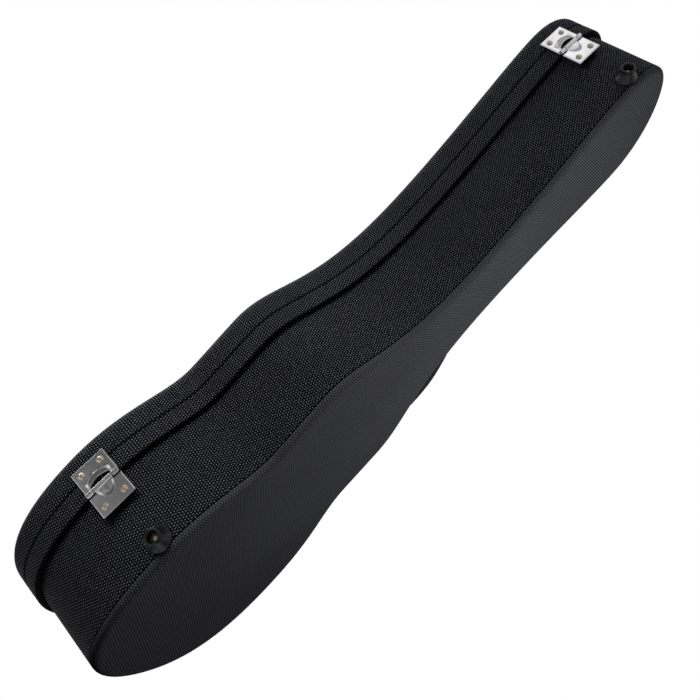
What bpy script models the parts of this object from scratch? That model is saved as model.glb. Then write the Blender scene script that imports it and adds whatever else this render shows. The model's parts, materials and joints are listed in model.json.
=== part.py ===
# Ukulele case: a bent plywood case covered in woven nylon, with a padded lid, stop hinges and draw latches.
# Metres. The case lies on its back panel with the lid up. +X is the tail end, +Y the hinge side.

from math import cos, hypot, pi, radians, sin, tan

import bmesh
import bpy
import numpy as np
from mathutils import Matrix, Vector

# Plan of the body wall's outer face: half of it, from the tail to the head.
CASE_LENGTH = 0.650
TAIL_END, HEAD_END = CASE_LENGTH / 2, -CASE_LENGTH / 2
TAIL_ROUND = 0.0820          # how far the flat of the tail end carries sideways
LOWER_BOUT_REACH, LOWER_BOUT_HALF = 0.1050, 0.1150      # reach: from the place before it, along the case
LOWER_BOUT_TAILWARD, LOWER_BOUT_HEADWARD = 0.0660, 0.0480
WAIST_REACH, WAIST_HALF = 0.0960, 0.0865
WAIST_TAILWARD, WAIST_HEADWARD = 0.0260, 0.0120
UPPER_BOUT_REACH, UPPER_BOUT_HALF = 0.0500, 0.0885
UPPER_BOUT_TAILWARD, UPPER_BOUT_HEADWARD = 0.0140, 0.0390
NECK_REACH, NECK_HALF = 0.1580, 0.0396
NECK_TAILWARD, NECK_HEADWARD = 0.1020, 0.0750
HEAD_FROM_END, HEAD_HALF = 0.0550, 0.0565
HEAD_TAILWARD, HEAD_HEADWARD = 0.0390, 0.0360
LOWER_BOUT_X = TAIL_END - LOWER_BOUT_REACH
WAIST_X = LOWER_BOUT_X - WAIST_REACH
UPPER_BOUT_X = WAIST_X - UPPER_BOUT_REACH
NECK_X = UPPER_BOUT_X - NECK_REACH
HEAD_X = HEAD_END + HEAD_FROM_END
HEAD_ROUND = 0.0310
SPAN_STEPS = (11, 8, 4, 9, 8, 8)   # facets between one station and the next

# Heights and walls.
BACK_THICK = 0.0055
BACK_EDGE_RADIUS = 0.0048
PLY = 0.0040
PARTING_HEIGHT = 0.0718
LID_DEPTH = 0.0302
LID_TOP = PARTING_HEIGHT + LID_DEPTH
LID_EDGE_RADIUS = 0.0100
LID_SKIN = 0.0035            # thickness of the padded cover over the lid's plywood board
LID_BOARD_THICK = 0.0030
VALANCE_OVERLAP = 0.0058     # how far the valance hangs below the parting
VALANCE_BOTTOM = PARTING_HEIGHT - VALANCE_OVERLAP
SEWN_ABOVE_PARTING = 0.0082
SEWN_LINE = PARTING_HEIGHT + SEWN_ABOVE_PARTING
COVER_STANDS_PROUD = 0.0044  # the lid's cover and valance beyond the body wall
VALANCE_REACH_GAP = 0.0008   # the valance hangs this far off the body wall
VALANCE_LIP_RADIUS = 0.0012
SEAT = 0.0003                # gap kept between pieces that touch

# Lining.
LINING_THICK = 0.0077
LINING_BELOW_RIM = 0.0030
FLOOR_LINING_THICK = 0.0045
LID_LINING_THICK = 0.0060
LINING_ROUND = 0.0034

# Neck cradle and accessory compartment.
CRADLE_FROM_NECK = 0.0280
CRADLE_X = NECK_X + CRADLE_FROM_NECK
CRADLE_THICK = 0.0180
CRADLE_BELOW_PARTING = 0.0158
CRADLE_HEIGHT = PARTING_HEIGHT - CRADLE_BELOW_PARTING
NECK_NOTCH_RADIUS, NECK_NOTCH_DEPTH = 0.0200, 0.0140
NECK_NOTCH_BOTTOM = CRADLE_HEIGHT - NECK_NOTCH_DEPTH
COMPARTMENT_LENGTH = 0.0960
END_WALL_THICK = 0.0120
COMPARTMENT_LID_WIDTH = 0.0490
COMPARTMENT_LID_THICK = 0.0040
COMPARTMENT_LID_BELOW_CRADLE = 0.0180
COMPARTMENT_LID_TOP = CRADLE_HEIGHT - COMPARTMENT_LID_BELOW_CRADLE
COMPARTMENT_LID_GAP = 0.0010
LEDGE_WIDTH, LEDGE_HEIGHT = 0.0080, 0.0080
COMPARTMENT_LID_CORNER = 0.0020
TAB_WIDTH, TAB_LENGTH, TAB_THICK, TAB_CORNER = 0.0140, 0.0180, 0.0012, 0.0030
CLOTH_THICK = 0.0008
CLOTH_REACH = 0.0090

# Stop hinges.
HINGE_PAST_BOUT, HINGE_PAST_HEAD = 0.0084, 0.0047      # headward of the widest places
HINGE_PLACES = (("tail", LOWER_BOUT_X - HINGE_PAST_BOUT), ("head", HEAD_X - HINGE_PAST_HEAD))
HINGE_WIDTH = 0.0260
LEAF_RISE = 0.0204                 # lid leaf, from the pin to its far edge
LEAF_DROP = 0.0193                 # body leaf
LEAF_THICK = 0.0012
LEAF_CORNER = 0.0008
KNUCKLE_RADIUS = 0.0019
KNUCKLE_END = 0.0052               # length of each outer knuckle
KNUCKLE_GAP = 0.0004
HINGE_PIN_RADIUS = 0.0009
RUNNING_GAP = 0.0003
SLOT_HEIGHT, SLOT_CROWN = 0.0014, 0.0030   # at its ends, and what its arch adds in the middle
RIDGE_RADIUS, RIDGE_RISE, RIDGE_FROM_SLOT = 0.0017, 0.0013, 0.0026
RIDGE_END_SHARE = 0.25             # of the ridge's full size, where it dies out at its two ends
SWELL_HALF_WIDTH, SWELL_REACH, SWELL_RISE = 0.0072, 0.0056, 0.0012
SPACER_CORNER = 0.0010
HINGE_RIVET_APART = 0.0154
LID_RIVET_RISE, BODY_RIVET_DROP = 0.0148, 0.0138
HINGE_RIVET_RADIUS, HINGE_RIVET_DOME = 0.0025, 0.0014

# Feet on the hinge side.
FOOT_PAST_BOUT, FOOT_PAST_HEAD = 0.0110, 0.0040
FOOT_PLACES = (("tail", LOWER_BOUT_X - FOOT_PAST_BOUT), ("head", HEAD_X - FOOT_PAST_HEAD))
FOOT_HEIGHT_ON_WALL = 0.0124
FOOT_LENGTH = 0.0100
FOOT_BASE_RADIUS, FOOT_BASE_EDGE = 0.0086, 0.0009
FOOT_NECK_RADIUS, FOOT_RIM_RADIUS, FOOT_RIM_ROUND = 0.0056, 0.0062, 0.0013
FOOT_HOLLOW = 0.0004               # how far the flare draws in from a straight cone
FOOT_BORE_RADIUS, FOOT_BORE_DEPTH = 0.0036, 0.0056
FOOT_SCREW_RADIUS, FOOT_SCREW_HEAD = 0.0028, 0.0016

# Draw latches on the side opposite the hinges: the places of the three along the case.
LATCH_PAST_BOUT, LATCH_BEFORE_BOUT, LATCH_PAST_HEAD = 0.0080, 0.0210, 0.0050
LATCH_PLACES = (("tail", LOWER_BOUT_X - LATCH_PAST_BOUT), ("waist", UPPER_BOUT_X + LATCH_BEFORE_BOUT),
                ("head", HEAD_X - LATCH_PAST_HEAD))
LATCH_PIVOT_BELOW_VALANCE = 0.0120
LATCH_PIVOT_HEIGHT = VALANCE_BOTTOM - LATCH_PIVOT_BELOW_VALANCE
LATCH_PIVOT_OUT = 0.0060
LATCH_BASE_WIDTH = 0.0260
LATCH_BASE_ABOVE, LATCH_BASE_BELOW = 0.0050, 0.0260
LATCH_BASE_CORNER = 0.0030
LATCH_SHEET = 0.0012
LATCH_EAR_INNER = 0.0085
LATCH_EAR_RADIUS, LATCH_EAR_FLARE = 0.0030, 0.0010
LATCH_PIN_RADIUS = 0.00125
LATCH_PIN_HALF = 0.0103
LEVER_WIDTH = 0.0160
LEVER_STANDS = 0.0030              # the lever's plate beyond its pivot
LEVER_DROP = 0.0300
# The lever's tab: share of its drop, and how far out it bends there.
LEVER_CURL = ((0.60, 0.0), (0.80, -0.0008), (0.93, -0.0002), (1.0, 0.0016))
BAIL_ARM = 0.0080                  # lever pivot to bail pivot
BAIL_WIRE_RADIUS = 0.0012
BAIL_HALF_WIDTH = 0.0120
BAIL_CORNER = 0.0030
KEEPER_WIDTH = 0.0180
KEEPER_FLOOR_ABOVE_VALANCE = 0.0040
KEEPER_FLOOR = VALANCE_BOTTOM + KEEPER_FLOOR_ABOVE_VALANCE
KEEPER_RISE = 0.0160
KEEPER_TROUGH = 0.0057             # clear width of the hook
KEEPER_LIP = 0.0014                # the hook's lip above its floor
LATCH_RIVET_RADIUS, LATCH_RIVET_DOME = 0.0020, 0.0011
LATCH_RIVET_APART, LATCH_RIVET_DROPS = 0.0172, (0.0115, 0.0215)
KEEPER_RIVET_APART, KEEPER_RIVET_RISE = 0.0100, 0.0109
RIVET_SINK = 0.0004                # how far a rivet's head goes into its plate, so that the two become one

# Handle, on the same side as the latches.
HANDLE_FROM_UPPER_BOUT = 0.0730
HANDLE_X = UPPER_BOUT_X - HANDLE_FROM_UPPER_BOUT
HANDLE_SPAN = 0.0920               # between the two brackets
HANDLE_HEIGHT = 0.0360
HANDLE_PIVOT_OUT = 0.0080
HANDLE_REACH = 0.0255
HANDLE_ROD_RADIUS = 0.0022
HANDLE_ROD_CORNER = 0.0100
HANDLE_DROOP = radians(55)         # the grip hangs this far below level
GRIP_RADIUS, GRIP_END_RADIUS, GRIP_CHAMFER = 0.0085, 0.0062, 0.0015
BRACKET_LENGTH, BRACKET_HEIGHT, BRACKET_SHEET = 0.0240, 0.0150, 0.0014
BRACKET_CORNER = 0.0040
BRACKET_EAR_RADIUS, BRACKET_EAR_THICK = 0.0042, 0.0024
HANDLE_RIVET_RADIUS, HANDLE_RIVET_DOME, HANDLE_RIVET_APART = 0.0022, 0.0012, 0.0158

for old in list(bpy.data.objects):
    bpy.data.objects.remove(old, do_unlink=True)

parts = bpy.data.collections.new("ukulele_case")
cutters = bpy.data.collections.new("cutters")
bpy.context.scene.collection.children.link(parts)
bpy.context.scene.collection.children.link(cutters)

UPRIGHT = Matrix.Rotation(radians(90), 4, "X")                 # a drawing in X and Y stands up in X and Z
# A drawing in Y and Z, thick along X.
SIDEWAYS = Matrix(((0, 0, 1, 0), (1, 0, 0, 0), (0, 1, 0, 0), (0, 0, 0, 1)))


# Materials

def finish(name, colour, roughness, metallic=0.0):
    material = bpy.data.materials.new(name)
    material.use_nodes = True
    shader = material.node_tree.nodes["Principled BSDF"]
    shader.inputs["Base Color"].default_value = (*colour, 1.0)
    shader.inputs["Roughness"].default_value = roughness
    shader.inputs["Metallic"].default_value = metallic
    material.diffuse_color = (*colour, 1.0)
    return material


FINISHES = {
    "nylon": ((0.022, 0.022, 0.026), 0.72, 0.0),
    "back_nylon": ((0.035, 0.036, 0.038), 0.66, 0.0),
    "plywood": ((0.045, 0.042, 0.040), 0.80, 0.0),
    "plush": ((0.060, 0.060, 0.066), 0.95, 0.0),
    "board": ((0.050, 0.050, 0.055), 0.90, 0.0),
    "chrome": ((0.78, 0.78, 0.80), 0.12, 1.0),
    "steel": ((0.62, 0.62, 0.64), 0.25, 1.0),
    "rivet": ((0.72, 0.60, 0.42), 0.25, 1.0),
    "brass": ((0.66, 0.47, 0.22), 0.30, 1.0),
    "rubber": ((0.012, 0.012, 0.013), 0.60, 0.0),
    "block": ((0.014, 0.014, 0.015), 0.55, 0.0),
    "grip": ((0.015, 0.015, 0.016), 0.50, 0.0),
    "cloth": ((0.030, 0.030, 0.034), 0.85, 0.0),
}


def give(ob, look):
    colour, roughness, metallic = FINISHES[look]
    ob.data.materials.clear()
    ob.data.materials.append(finish(ob.name, colour, roughness, metallic))
    return ob


# Plan outline

def bezier(start, start_handle, end_handle, end, steps):
    t = np.arange(steps)[:, None] / steps
    return ((1 - t) ** 3 * start + 3 * (1 - t) ** 2 * t * start_handle
            + 3 * (1 - t) * t ** 2 * end_handle + t ** 3 * end)


def body_outline():
    half_length = CASE_LENGTH / 2
    stations = (
        (LOWER_BOUT_X, LOWER_BOUT_HALF, LOWER_BOUT_TAILWARD, LOWER_BOUT_HEADWARD),
        (WAIST_X, WAIST_HALF, WAIST_TAILWARD, WAIST_HEADWARD),
        (UPPER_BOUT_X, UPPER_BOUT_HALF, UPPER_BOUT_TAILWARD, UPPER_BOUT_HEADWARD),
        (NECK_X, NECK_HALF, NECK_TAILWARD, NECK_HEADWARD),
        (HEAD_X, HEAD_HALF, HEAD_TAILWARD, HEAD_HEADWARD),
    )
    knots = [(np.array((half_length, 0)), None, np.array((half_length, TAIL_ROUND)))]
    for x, half, tailward, headward in stations:
        knots.append((np.array((x, half)), np.array((x + tailward, half)), np.array((x - headward, half))))
    knots.append((np.array((-half_length, 0)), np.array((-half_length, HEAD_ROUND)), None))
    spans = []
    for (start, _, leaving), (end, arriving, _), steps in zip(knots, knots[1:], SPAN_STEPS):
        spans.append(bezier(start, leaving, arriving, end, steps))
    half = np.vstack(spans + [[knots[-1][0]]])
    return np.vstack([half, (half[1:-1] * (1, -1))[::-1]])


def ways_out(loop):
    """The way out of a closed loop at each of its points."""
    along = np.roll(loop, -1, 0) - np.roll(loop, 1, 0)
    out = np.column_stack([along[:, 1], -along[:, 0]])
    return out / np.linalg.norm(out, axis=1)[:, None]


WALL = body_outline()
WALL_OUT = ways_out(WALL)


def outline(offset):
    """The plan outline, moved outwards by the offset."""
    return WALL + WALL_OUT * offset


def wall_at(x, side):
    """The point of the outline at x on the +Y or -Y side, and the way out of the wall there."""
    count = len(WALL)
    for i in range(count):
        a, b = WALL[i], WALL[(i + 1) % count]
        if (a[0] - x) * (b[0] - x) <= 0 and (a[1] + b[1]) * side > 0 and a[0] != b[0]:
            share = (x - a[0]) / (b[0] - a[0])
            out = WALL_OUT[i] * (1 - share) + WALL_OUT[(i + 1) % count] * share
            return a + (b - a) * share, out / np.linalg.norm(out)
    raise ValueError("no wall at that place")


def plate_at(x, side, half_length):
    """Like wall_at, for a flat plate: moved out where a hollow wall would meet its ends."""
    spot, out = wall_at(x, side)
    step = (np.roll(WALL, -1, 0) - WALL) / 8
    fine = np.vstack([WALL + step * k for k in range(8)]) - spot
    beside = fine[np.abs(fine @ (out[1], -out[0])) < half_length]
    return spot + out * max(0.0, (beside @ out).max()), out


def stand(point, out, height=0.0):
    """A frame at a point of the plan: X along the wall, Y out of it, Z up."""
    return Matrix((
        (out[1], out[0], 0, point[0]),
        (-out[0], out[1], 0, point[1]),
        (0, 0, 1, height),
        (0, 0, 0, 1),
    ))


def hinge_line():
    """The line that touches the lower bout and the head on the hinge side: a point of it, and the way out."""
    near = outline(COVER_STANDS_PROUD)
    tail_side = near[near[:, 0] > 0]
    head_side = near[near[:, 0] < 0]
    low, high = 0.0, radians(30)
    for _ in range(40):
        lean = (low + high) / 2
        out = np.array((-sin(lean), cos(lean)))
        if (tail_side @ out).max() > (head_side @ out).max():
            low = lean
        else:
            high = lean
    return tail_side[np.argmax(tail_side @ out)], out


# Solids

def keep(ob, look, parent=None):
    """Puts a finished piece with the parts, in its own material."""
    for home in list(ob.users_collection):
        home.objects.unlink(ob)
    parts.objects.link(ob)
    give(ob, look)
    if parent is not None:
        ob.parent = parent
        ob.matrix_parent_inverse = parent.matrix_world.inverted()
    return ob


def solid(name, mesh, place=None):
    ob = bpy.data.objects.new(name, mesh)
    cutters.objects.link(ob)
    if place is not None:
        mesh.transform(place)
    return ob


def tidy(mesh, weld=0.000001):
    shape = bmesh.new()
    shape.from_mesh(mesh)
    bmesh.ops.remove_doubles(shape, verts=shape.verts, dist=weld)
    bmesh.ops.recalc_face_normals(shape, faces=shape.faces)
    shape.to_mesh(mesh)
    shape.free()
    return mesh


def from_curve(name, curve, place=None):
    ob = bpy.data.objects.new(name, curve)
    cutters.objects.link(ob)
    bpy.context.view_layer.update()
    mesh = bpy.data.meshes.new_from_object(ob.evaluated_get(bpy.context.evaluated_depsgraph_get()))
    bpy.data.objects.remove(ob, do_unlink=True)
    return solid(name, tidy(mesh), place)


def flat(name, loops, thick, place=None):
    """Flat outlines, the first with the others as holes, centred on their plane."""
    curve = bpy.data.curves.new(name, "CURVE")
    curve.dimensions = "2D"
    curve.fill_mode = "BOTH"
    curve.extrude = thick / 2
    for loop in loops:
        spline = curve.splines.new("POLY")
        spline.points.add(len(loop) - 1)
        for point, (x, y) in zip(spline.points, loop):
            point.co = (x, y, 0, 1)
        spline.use_cyclic_u = True
    return from_curve(name, curve, place)


def wire(name, points, radius, sides=2, place=None, swells=None):
    """A round wire through the points, with closed ends; swells gives each point a share of the radius."""
    curve = bpy.data.curves.new(name, "CURVE")
    curve.dimensions = "3D"
    curve.bevel_depth = radius
    curve.bevel_resolution = sides
    curve.use_fill_caps = True
    spline = curve.splines.new("POLY")
    spline.points.add(len(points) - 1)
    for number, (point, where) in enumerate(zip(spline.points, points)):
        point.co = (*where, 1)
        point.radius = swells[number] if swells else 1.0
    return from_curve(name, curve, place)


def turned_piece(name, profile, steps, place=None):
    """A profile of (radius, height) turned about Z, top to bottom down its outer side."""
    mesh = bpy.data.meshes.new(name)
    mesh.from_pydata([(r, 0, z) for r, z in profile], [(i, i + 1) for i in range(len(profile) - 1)], [])
    ob = bpy.data.objects.new(name, mesh)
    cutters.objects.link(ob)
    screw = ob.modifiers.new("turn", "SCREW")
    screw.steps = steps
    screw.render_steps = steps
    screw.use_merge_vertices = True
    screw.merge_threshold = 0.00001
    bpy.context.view_layer.update()
    result = bpy.data.meshes.new_from_object(ob.evaluated_get(bpy.context.evaluated_depsgraph_get()))
    bpy.data.objects.remove(ob, do_unlink=True)
    return solid(name, tidy(result), place)


def lofted(name, section, closed):
    """The outline at each (offset, height) of a section, lofted to the next; open ends are capped."""
    shape = bmesh.new()
    rings = []
    for offset, height in section:
        rings.append([shape.verts.new((x, y, height)) for x, y in outline(offset)])
    count = len(WALL)
    pairs = list(zip(rings, rings[1:]))
    if closed:
        pairs.append((rings[-1], rings[0]))
    for lower, upper in pairs:
        for i in range(count):
            j = (i + 1) % count
            shape.faces.new((lower[i], lower[j], upper[j], upper[i]))
    if not closed:
        shape.faces.new(rings[0])
        shape.faces.new(rings[-1])
    bmesh.ops.recalc_face_normals(shape, faces=shape.faces)
    mesh = bpy.data.meshes.new(name)
    shape.to_mesh(mesh)
    shape.free()
    return solid(name, mesh)


def shade(ob, angle=radians(35)):
    ob.data.shade_smooth()
    ob.data.set_sharp_from_angle(angle=angle)
    return ob


def combine(ob, tools, operation):
    """Unites the tools with a solid, cuts them from it or keeps what they share."""
    for tool in tools:
        step = ob.modifiers.new(operation.lower(), "BOOLEAN")
        step.operation = operation
        step.solver = "EXACT"
        step.object = tool
    bpy.context.view_layer.update()
    mesh = bpy.data.meshes.new_from_object(ob.evaluated_get(bpy.context.evaluated_depsgraph_get()))
    ob.modifiers.clear()
    old = ob.data
    ob.data = mesh
    bpy.data.meshes.remove(old)
    for tool in tools:
        bpy.data.objects.remove(tool, do_unlink=True)
    return ob


def move_origin(ob, pivot):
    """Moves an object's origin to a pivot and leaves its shape where it is."""
    ob.data.transform(Matrix.Translation(-pivot))
    ob.location = pivot
    bpy.context.view_layer.update()
    return ob


# Outlines drawn flat

def arc(cx, cy, radius, start, end, steps):
    return [(cx + radius * cos(a), cy + radius * sin(a)) for a in np.linspace(start, end, steps + 1)]


def circle(cx, cy, radius, steps):
    return arc(cx, cy, radius, 0, 2 * pi, steps)[:-1]


def rounded_box(x0, y0, x1, y1, radius, steps=3):
    return (arc(x1 - radius, y0 + radius, radius, -pi / 2, 0, steps)
            + arc(x1 - radius, y1 - radius, radius, 0, pi / 2, steps)
            + arc(x0 + radius, y1 - radius, radius, pi / 2, pi, steps)
            + arc(x0 + radius, y0 + radius, radius, pi, 3 * pi / 2, steps))


def strip(points, thick):
    """A bent strip's side view: its middle line, given a thickness with mitred corners."""
    left, right = [], []
    for i, (x, y) in enumerate(points):
        before = points[max(i - 1, 0)]
        after = points[min(i + 1, len(points) - 1)]
        here = (x, y)
        ways = []
        for a, b in ((before, here), (here, after)):
            length = hypot(b[0] - a[0], b[1] - a[1])
            if length > 0:
                ways.append(((b[0] - a[0]) / length, (b[1] - a[1]) / length))
        nx = -sum(w[1] for w in ways)
        ny = sum(w[0] for w in ways)
        size = hypot(nx, ny)
        nx, ny = nx / size, ny / size
        reach = thick / 2 / (-ways[0][1] * nx + ways[0][0] * ny)
        left.append((x + nx * reach, y + ny * reach))
        right.append((x - nx * reach, y - ny * reach))
    return left + right[::-1]


def bend(points, radius, steps=4):
    """A path with its inner corners rounded by arcs that touch both sides."""
    path = [Vector(points[0])]
    for before, corner, after in zip(points, points[1:], points[2:]):
        before, corner, after = Vector(before), Vector(corner), Vector(after)
        into = (before - corner).normalized()
        away = (after - corner).normalized()
        half = into.angle(away) / 2
        middle = (into + away).normalized()
        centre = corner + middle * (radius / sin(half))
        first = corner + into * (radius / tan(half)) - centre
        last = corner + away * (radius / tan(half)) - centre
        sweep = first.angle(last)
        for k in range(steps + 1):
            t = k / steps
            path.append(centre + (first * sin((1 - t) * sweep) + last * sin(t * sweep)) / sin(sweep))
    path.append(Vector(points[-1]))
    return path


def dome(name, radius, rise, place, steps=12):
    """A rivet's low domed head, its flat side at the height of the place."""
    ball = (radius ** 2 + rise ** 2) / (2 * rise)
    profile = [(0.0, rise)]
    for share in (0.6, 1.0):
        r = radius * share
        profile.append((r, (ball ** 2 - r ** 2) ** 0.5 - (ball - rise)))
    profile.append((0.0, 0.0))
    return turned_piece(name, profile, steps, place)


def out_of(frame, along, out, up):
    """Turns a piece drawn about Z so that it points out of a wall's frame, at a place on it."""
    return frame @ Matrix.Translation((along, out, up)) @ Matrix.Rotation(radians(-90), 4, "X")


# Body: plywood hoop, back panel and linings

def fillet(offset, height, radius, start, end, steps):
    """Arc points of a section about (offset, height), angles from straight out, towards the top."""
    return [(offset + radius * cos(a), height + radius * sin(a)) for a in np.linspace(start, end, steps + 1)]


def body_shell():
    keep(shade(lofted("body_hoop", [
        (0, BACK_THICK + SEAT), (0, PARTING_HEIGHT), (-PLY, PARTING_HEIGHT), (-PLY, BACK_THICK + SEAT),
    ], closed=True)), "nylon")
    rounding = fillet(-BACK_EDGE_RADIUS, BACK_EDGE_RADIUS, BACK_EDGE_RADIUS, 0, -pi / 2, 4)
    keep(shade(lofted("back_panel", [(0, BACK_THICK)] + rounding, closed=False)), "back_nylon")


FLOOR_TOP = BACK_THICK + SEAT + FLOOR_LINING_THICK
LINING_INNER = -PLY - SEAT - LINING_THICK
LINING_TOP = PARTING_HEIGHT - LINING_BELOW_RIM
CAVITY = LINING_INNER - SEAT       # outline of what stands between the side linings


def linings():
    outer = -PLY - SEAT
    bottom = BACK_THICK + SEAT
    keep(lofted("floor_lining", [(outer, bottom), (outer, FLOOR_TOP)], closed=False), "plush")
    side = [(outer, FLOOR_TOP + SEAT), (outer, LINING_TOP)]
    side += fillet(LINING_INNER + LINING_ROUND, LINING_TOP - LINING_ROUND, LINING_ROUND, pi / 2, pi, 2)
    side += [(LINING_INNER, FLOOR_TOP + SEAT)]
    keep(shade(lofted("side_lining", side, closed=True)), "plush")


def between_linings(name, x0, x1, z0, z1):
    """A block across the inside of the case, cut to the side linings' outline."""
    block = flat(name, [outline(CAVITY)], z1 - z0, Matrix.Translation((0, 0, (z0 + z1) / 2)))
    reach = LOWER_BOUT_HALF * 2
    box = flat("slice", [[(x0, -reach), (x1, -reach), (x1, reach), (x0, reach)]], 2 * z1)
    return combine(block, [box], "INTERSECT")


def compartment():
    """Neck cradle, end wall and ledges, with the lid on its cloth hinge."""
    base = FLOOR_TOP + SEAT
    cradle_face = CRADLE_X - CRADLE_THICK / 2
    end_face = cradle_face - COMPARTMENT_LENGTH
    notch_height = NECK_NOTCH_BOTTOM + NECK_NOTCH_RADIUS
    for name, near, far in (("neck_cradle", cradle_face, cradle_face + CRADLE_THICK),
                            ("compartment_end_wall", end_face - END_WALL_THICK, end_face)):
        wall = between_linings(name, near, far, base, CRADLE_HEIGHT)
        middle = (near + far) / 2
        notch = flat("notch", [circle(0, notch_height, NECK_NOTCH_RADIUS, 32)], 2 * (far - near),
                     Matrix.Translation((middle, 0, 0)) @ SIDEWAYS)
        keep(shade(combine(wall, [notch], "DIFFERENCE")), "plush")

    lid_bottom = COMPARTMENT_LID_TOP - COMPARTMENT_LID_THICK
    half = COMPARTMENT_LID_WIDTH / 2
    for place, face, way in (("cradle", cradle_face, -1), ("end_wall", end_face, 1)):
        low, high = sorted((face + way * SEAT, face + way * (SEAT + LEDGE_WIDTH)))
        keep(flat("compartment_ledge_" + place, [[(low, -half), (high, -half), (high, half), (low, half)]],
                  LEDGE_HEIGHT, Matrix.Translation((0, 0, lid_bottom - SEAT - LEDGE_HEIGHT / 2))), "board")

    x0, x1 = end_face + COMPARTMENT_LID_GAP, cradle_face - COMPARTMENT_LID_GAP
    pivot = Vector(((x0 + x1) / 2, half, COMPARTMENT_LID_TOP))
    board_middle = (lid_bottom + COMPARTMENT_LID_TOP) / 2
    board = flat("compartment_lid", [rounded_box(x0, -half, x1, half, COMPARTMENT_LID_CORNER)],
                 COMPARTMENT_LID_THICK, Matrix.Translation((0, 0, board_middle)))
    keep(move_origin(board, pivot), "board")

    cloth_low = COMPARTMENT_LID_TOP + SEAT
    cloth = flat("compartment_cloth_hinge", [[
        (x0 + LEDGE_WIDTH, half - CLOTH_REACH), (x1 - LEDGE_WIDTH, half - CLOTH_REACH),
        (x1 - LEDGE_WIDTH, half), (x0 + LEDGE_WIDTH, half)]], CLOTH_THICK,
        Matrix.Translation((0, 0, cloth_low + CLOTH_THICK / 2)))
    keep(move_origin(cloth, pivot), "cloth")

    tab = flat("compartment_pull_tab", [rounded_box(
        pivot.x - TAB_WIDTH / 2, -half, pivot.x + TAB_WIDTH / 2, -half + TAB_LENGTH, TAB_CORNER)], TAB_THICK,
        Matrix.Translation((0, 0, cloth_low + TAB_THICK / 2)))
    keep(move_origin(tab, pivot), "cloth")


# Lid: plywood hoop, padded cover, valance and lining

LID_CEILING = LID_TOP - LID_SKIN                      # underside of the cover
BOARD_BOTTOM = LID_CEILING - SEAT - LID_BOARD_THICK


def lid_shell(axis):
    """Plywood hoop and board, the padded cover sewn to its valance, and the lining pad."""
    hoop_top = BOARD_BOTTOM - SEAT
    keep(shade(lofted("lid_hoop", [
        (0, PARTING_HEIGHT + SEAT), (0, hoop_top), (-PLY, hoop_top), (-PLY, PARTING_HEIGHT + SEAT),
    ], closed=True)), "plywood", axis)
    keep(lofted("lid_board", [(0, BOARD_BOTTOM), (0, LID_CEILING - SEAT)], closed=False), "plywood", axis)

    cover = [(SEAT, LID_CEILING), (SEAT, SEWN_LINE + SEAT), (COVER_STANDS_PROUD, SEWN_LINE + SEAT)]
    edge = LID_EDGE_RADIUS
    cover += fillet(COVER_STANDS_PROUD - edge, LID_TOP - edge, edge, 0, pi / 2, 4)
    keep(shade(lofted("lid_cover", cover, closed=False)), "nylon", axis)

    lip = COVER_STANDS_PROUD - VALANCE_LIP_RADIUS
    valance = [(VALANCE_REACH_GAP, SEWN_LINE), (VALANCE_REACH_GAP, VALANCE_BOTTOM)]
    valance += fillet(lip, VALANCE_BOTTOM + VALANCE_LIP_RADIUS, VALANCE_LIP_RADIUS, -pi / 2, 0, 2)
    valance += [(COVER_STANDS_PROUD, SEWN_LINE)]
    keep(shade(lofted("valance", valance, closed=True)), "nylon", axis)

    outer = -PLY - SEAT
    low = hoop_top - LID_LINING_THICK
    pad = [(outer, hoop_top)]
    pad += fillet(outer - LINING_ROUND, low + LINING_ROUND, LINING_ROUND, 0, -pi / 2, 2)
    keep(shade(lofted("lid_lining", pad, closed=False)), "plush", axis)


# Stop hinges

PIN_OUT = SEAT + KNUCKLE_RADIUS    # hinge pin beyond the valance's face


def knuckle(start, end):
    return flat("knuckle", [circle(PIN_OUT, 0, KNUCKLE_RADIUS, 14)], end - start,
                Matrix.Translation(((start + end) / 2, 0, 0)) @ SIDEWAYS)


def bored(leaf, spans):
    """Adds the knuckles to a leaf and bores them for the pin."""
    leaf = combine(leaf, [knuckle(start, end) for start, end in spans], "UNION")
    bore = flat("bore", [circle(PIN_OUT, 0, HINGE_PIN_RADIUS + RUNNING_GAP, 10)], 2 * HINGE_WIDTH, SIDEWAYS)
    return combine(leaf, [bore], "DIFFERENCE")


def pressed_out(ob):
    """Cuts a swelling of a leaf inside the sheet, so that none of it shows behind."""
    behind = flat("behind", [[(-HINGE_WIDTH, -LEAF_DROP), (HINGE_WIDTH, -LEAF_DROP),
                              (HINGE_WIDTH, LEAF_RISE), (-HINGE_WIDTH, LEAF_RISE)]], HINGE_WIDTH,
                  Matrix.Translation((0, SEAT + LEAF_THICK / 4 - HINGE_WIDTH / 2, 0)) @ UPRIGHT)
    return combine(ob, [behind], "DIFFERENCE")


def sheet_ball(half_width, reach, rise, height):
    """A shallow swelling pressed out of a leaf: a flattened ball, its middle inside the sheet."""
    shape = bmesh.new()
    bmesh.ops.create_uvsphere(shape, u_segments=14, v_segments=8, radius=1.0)
    middle = Matrix.Translation((0, SEAT + LEAF_THICK / 2, height))
    bmesh.ops.transform(shape, verts=shape.verts,
                        matrix=middle @ Matrix.Diagonal((half_width, LEAF_THICK / 2 + rise, reach, 1)))
    mesh = bpy.data.meshes.new("swell")
    shape.to_mesh(mesh)
    shape.free()
    return solid("swell", mesh)


def arch(half_span, foot, crown, steps):
    """Points of a low round arch from left to right: its feet at one height, its crown above them."""
    radius = (half_span ** 2 + crown ** 2) / (2 * crown)
    spread = np.arcsin(half_span / radius)
    return arc(0, foot + crown - radius, radius, pi / 2 + spread, pi / 2 - spread, steps)


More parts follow.
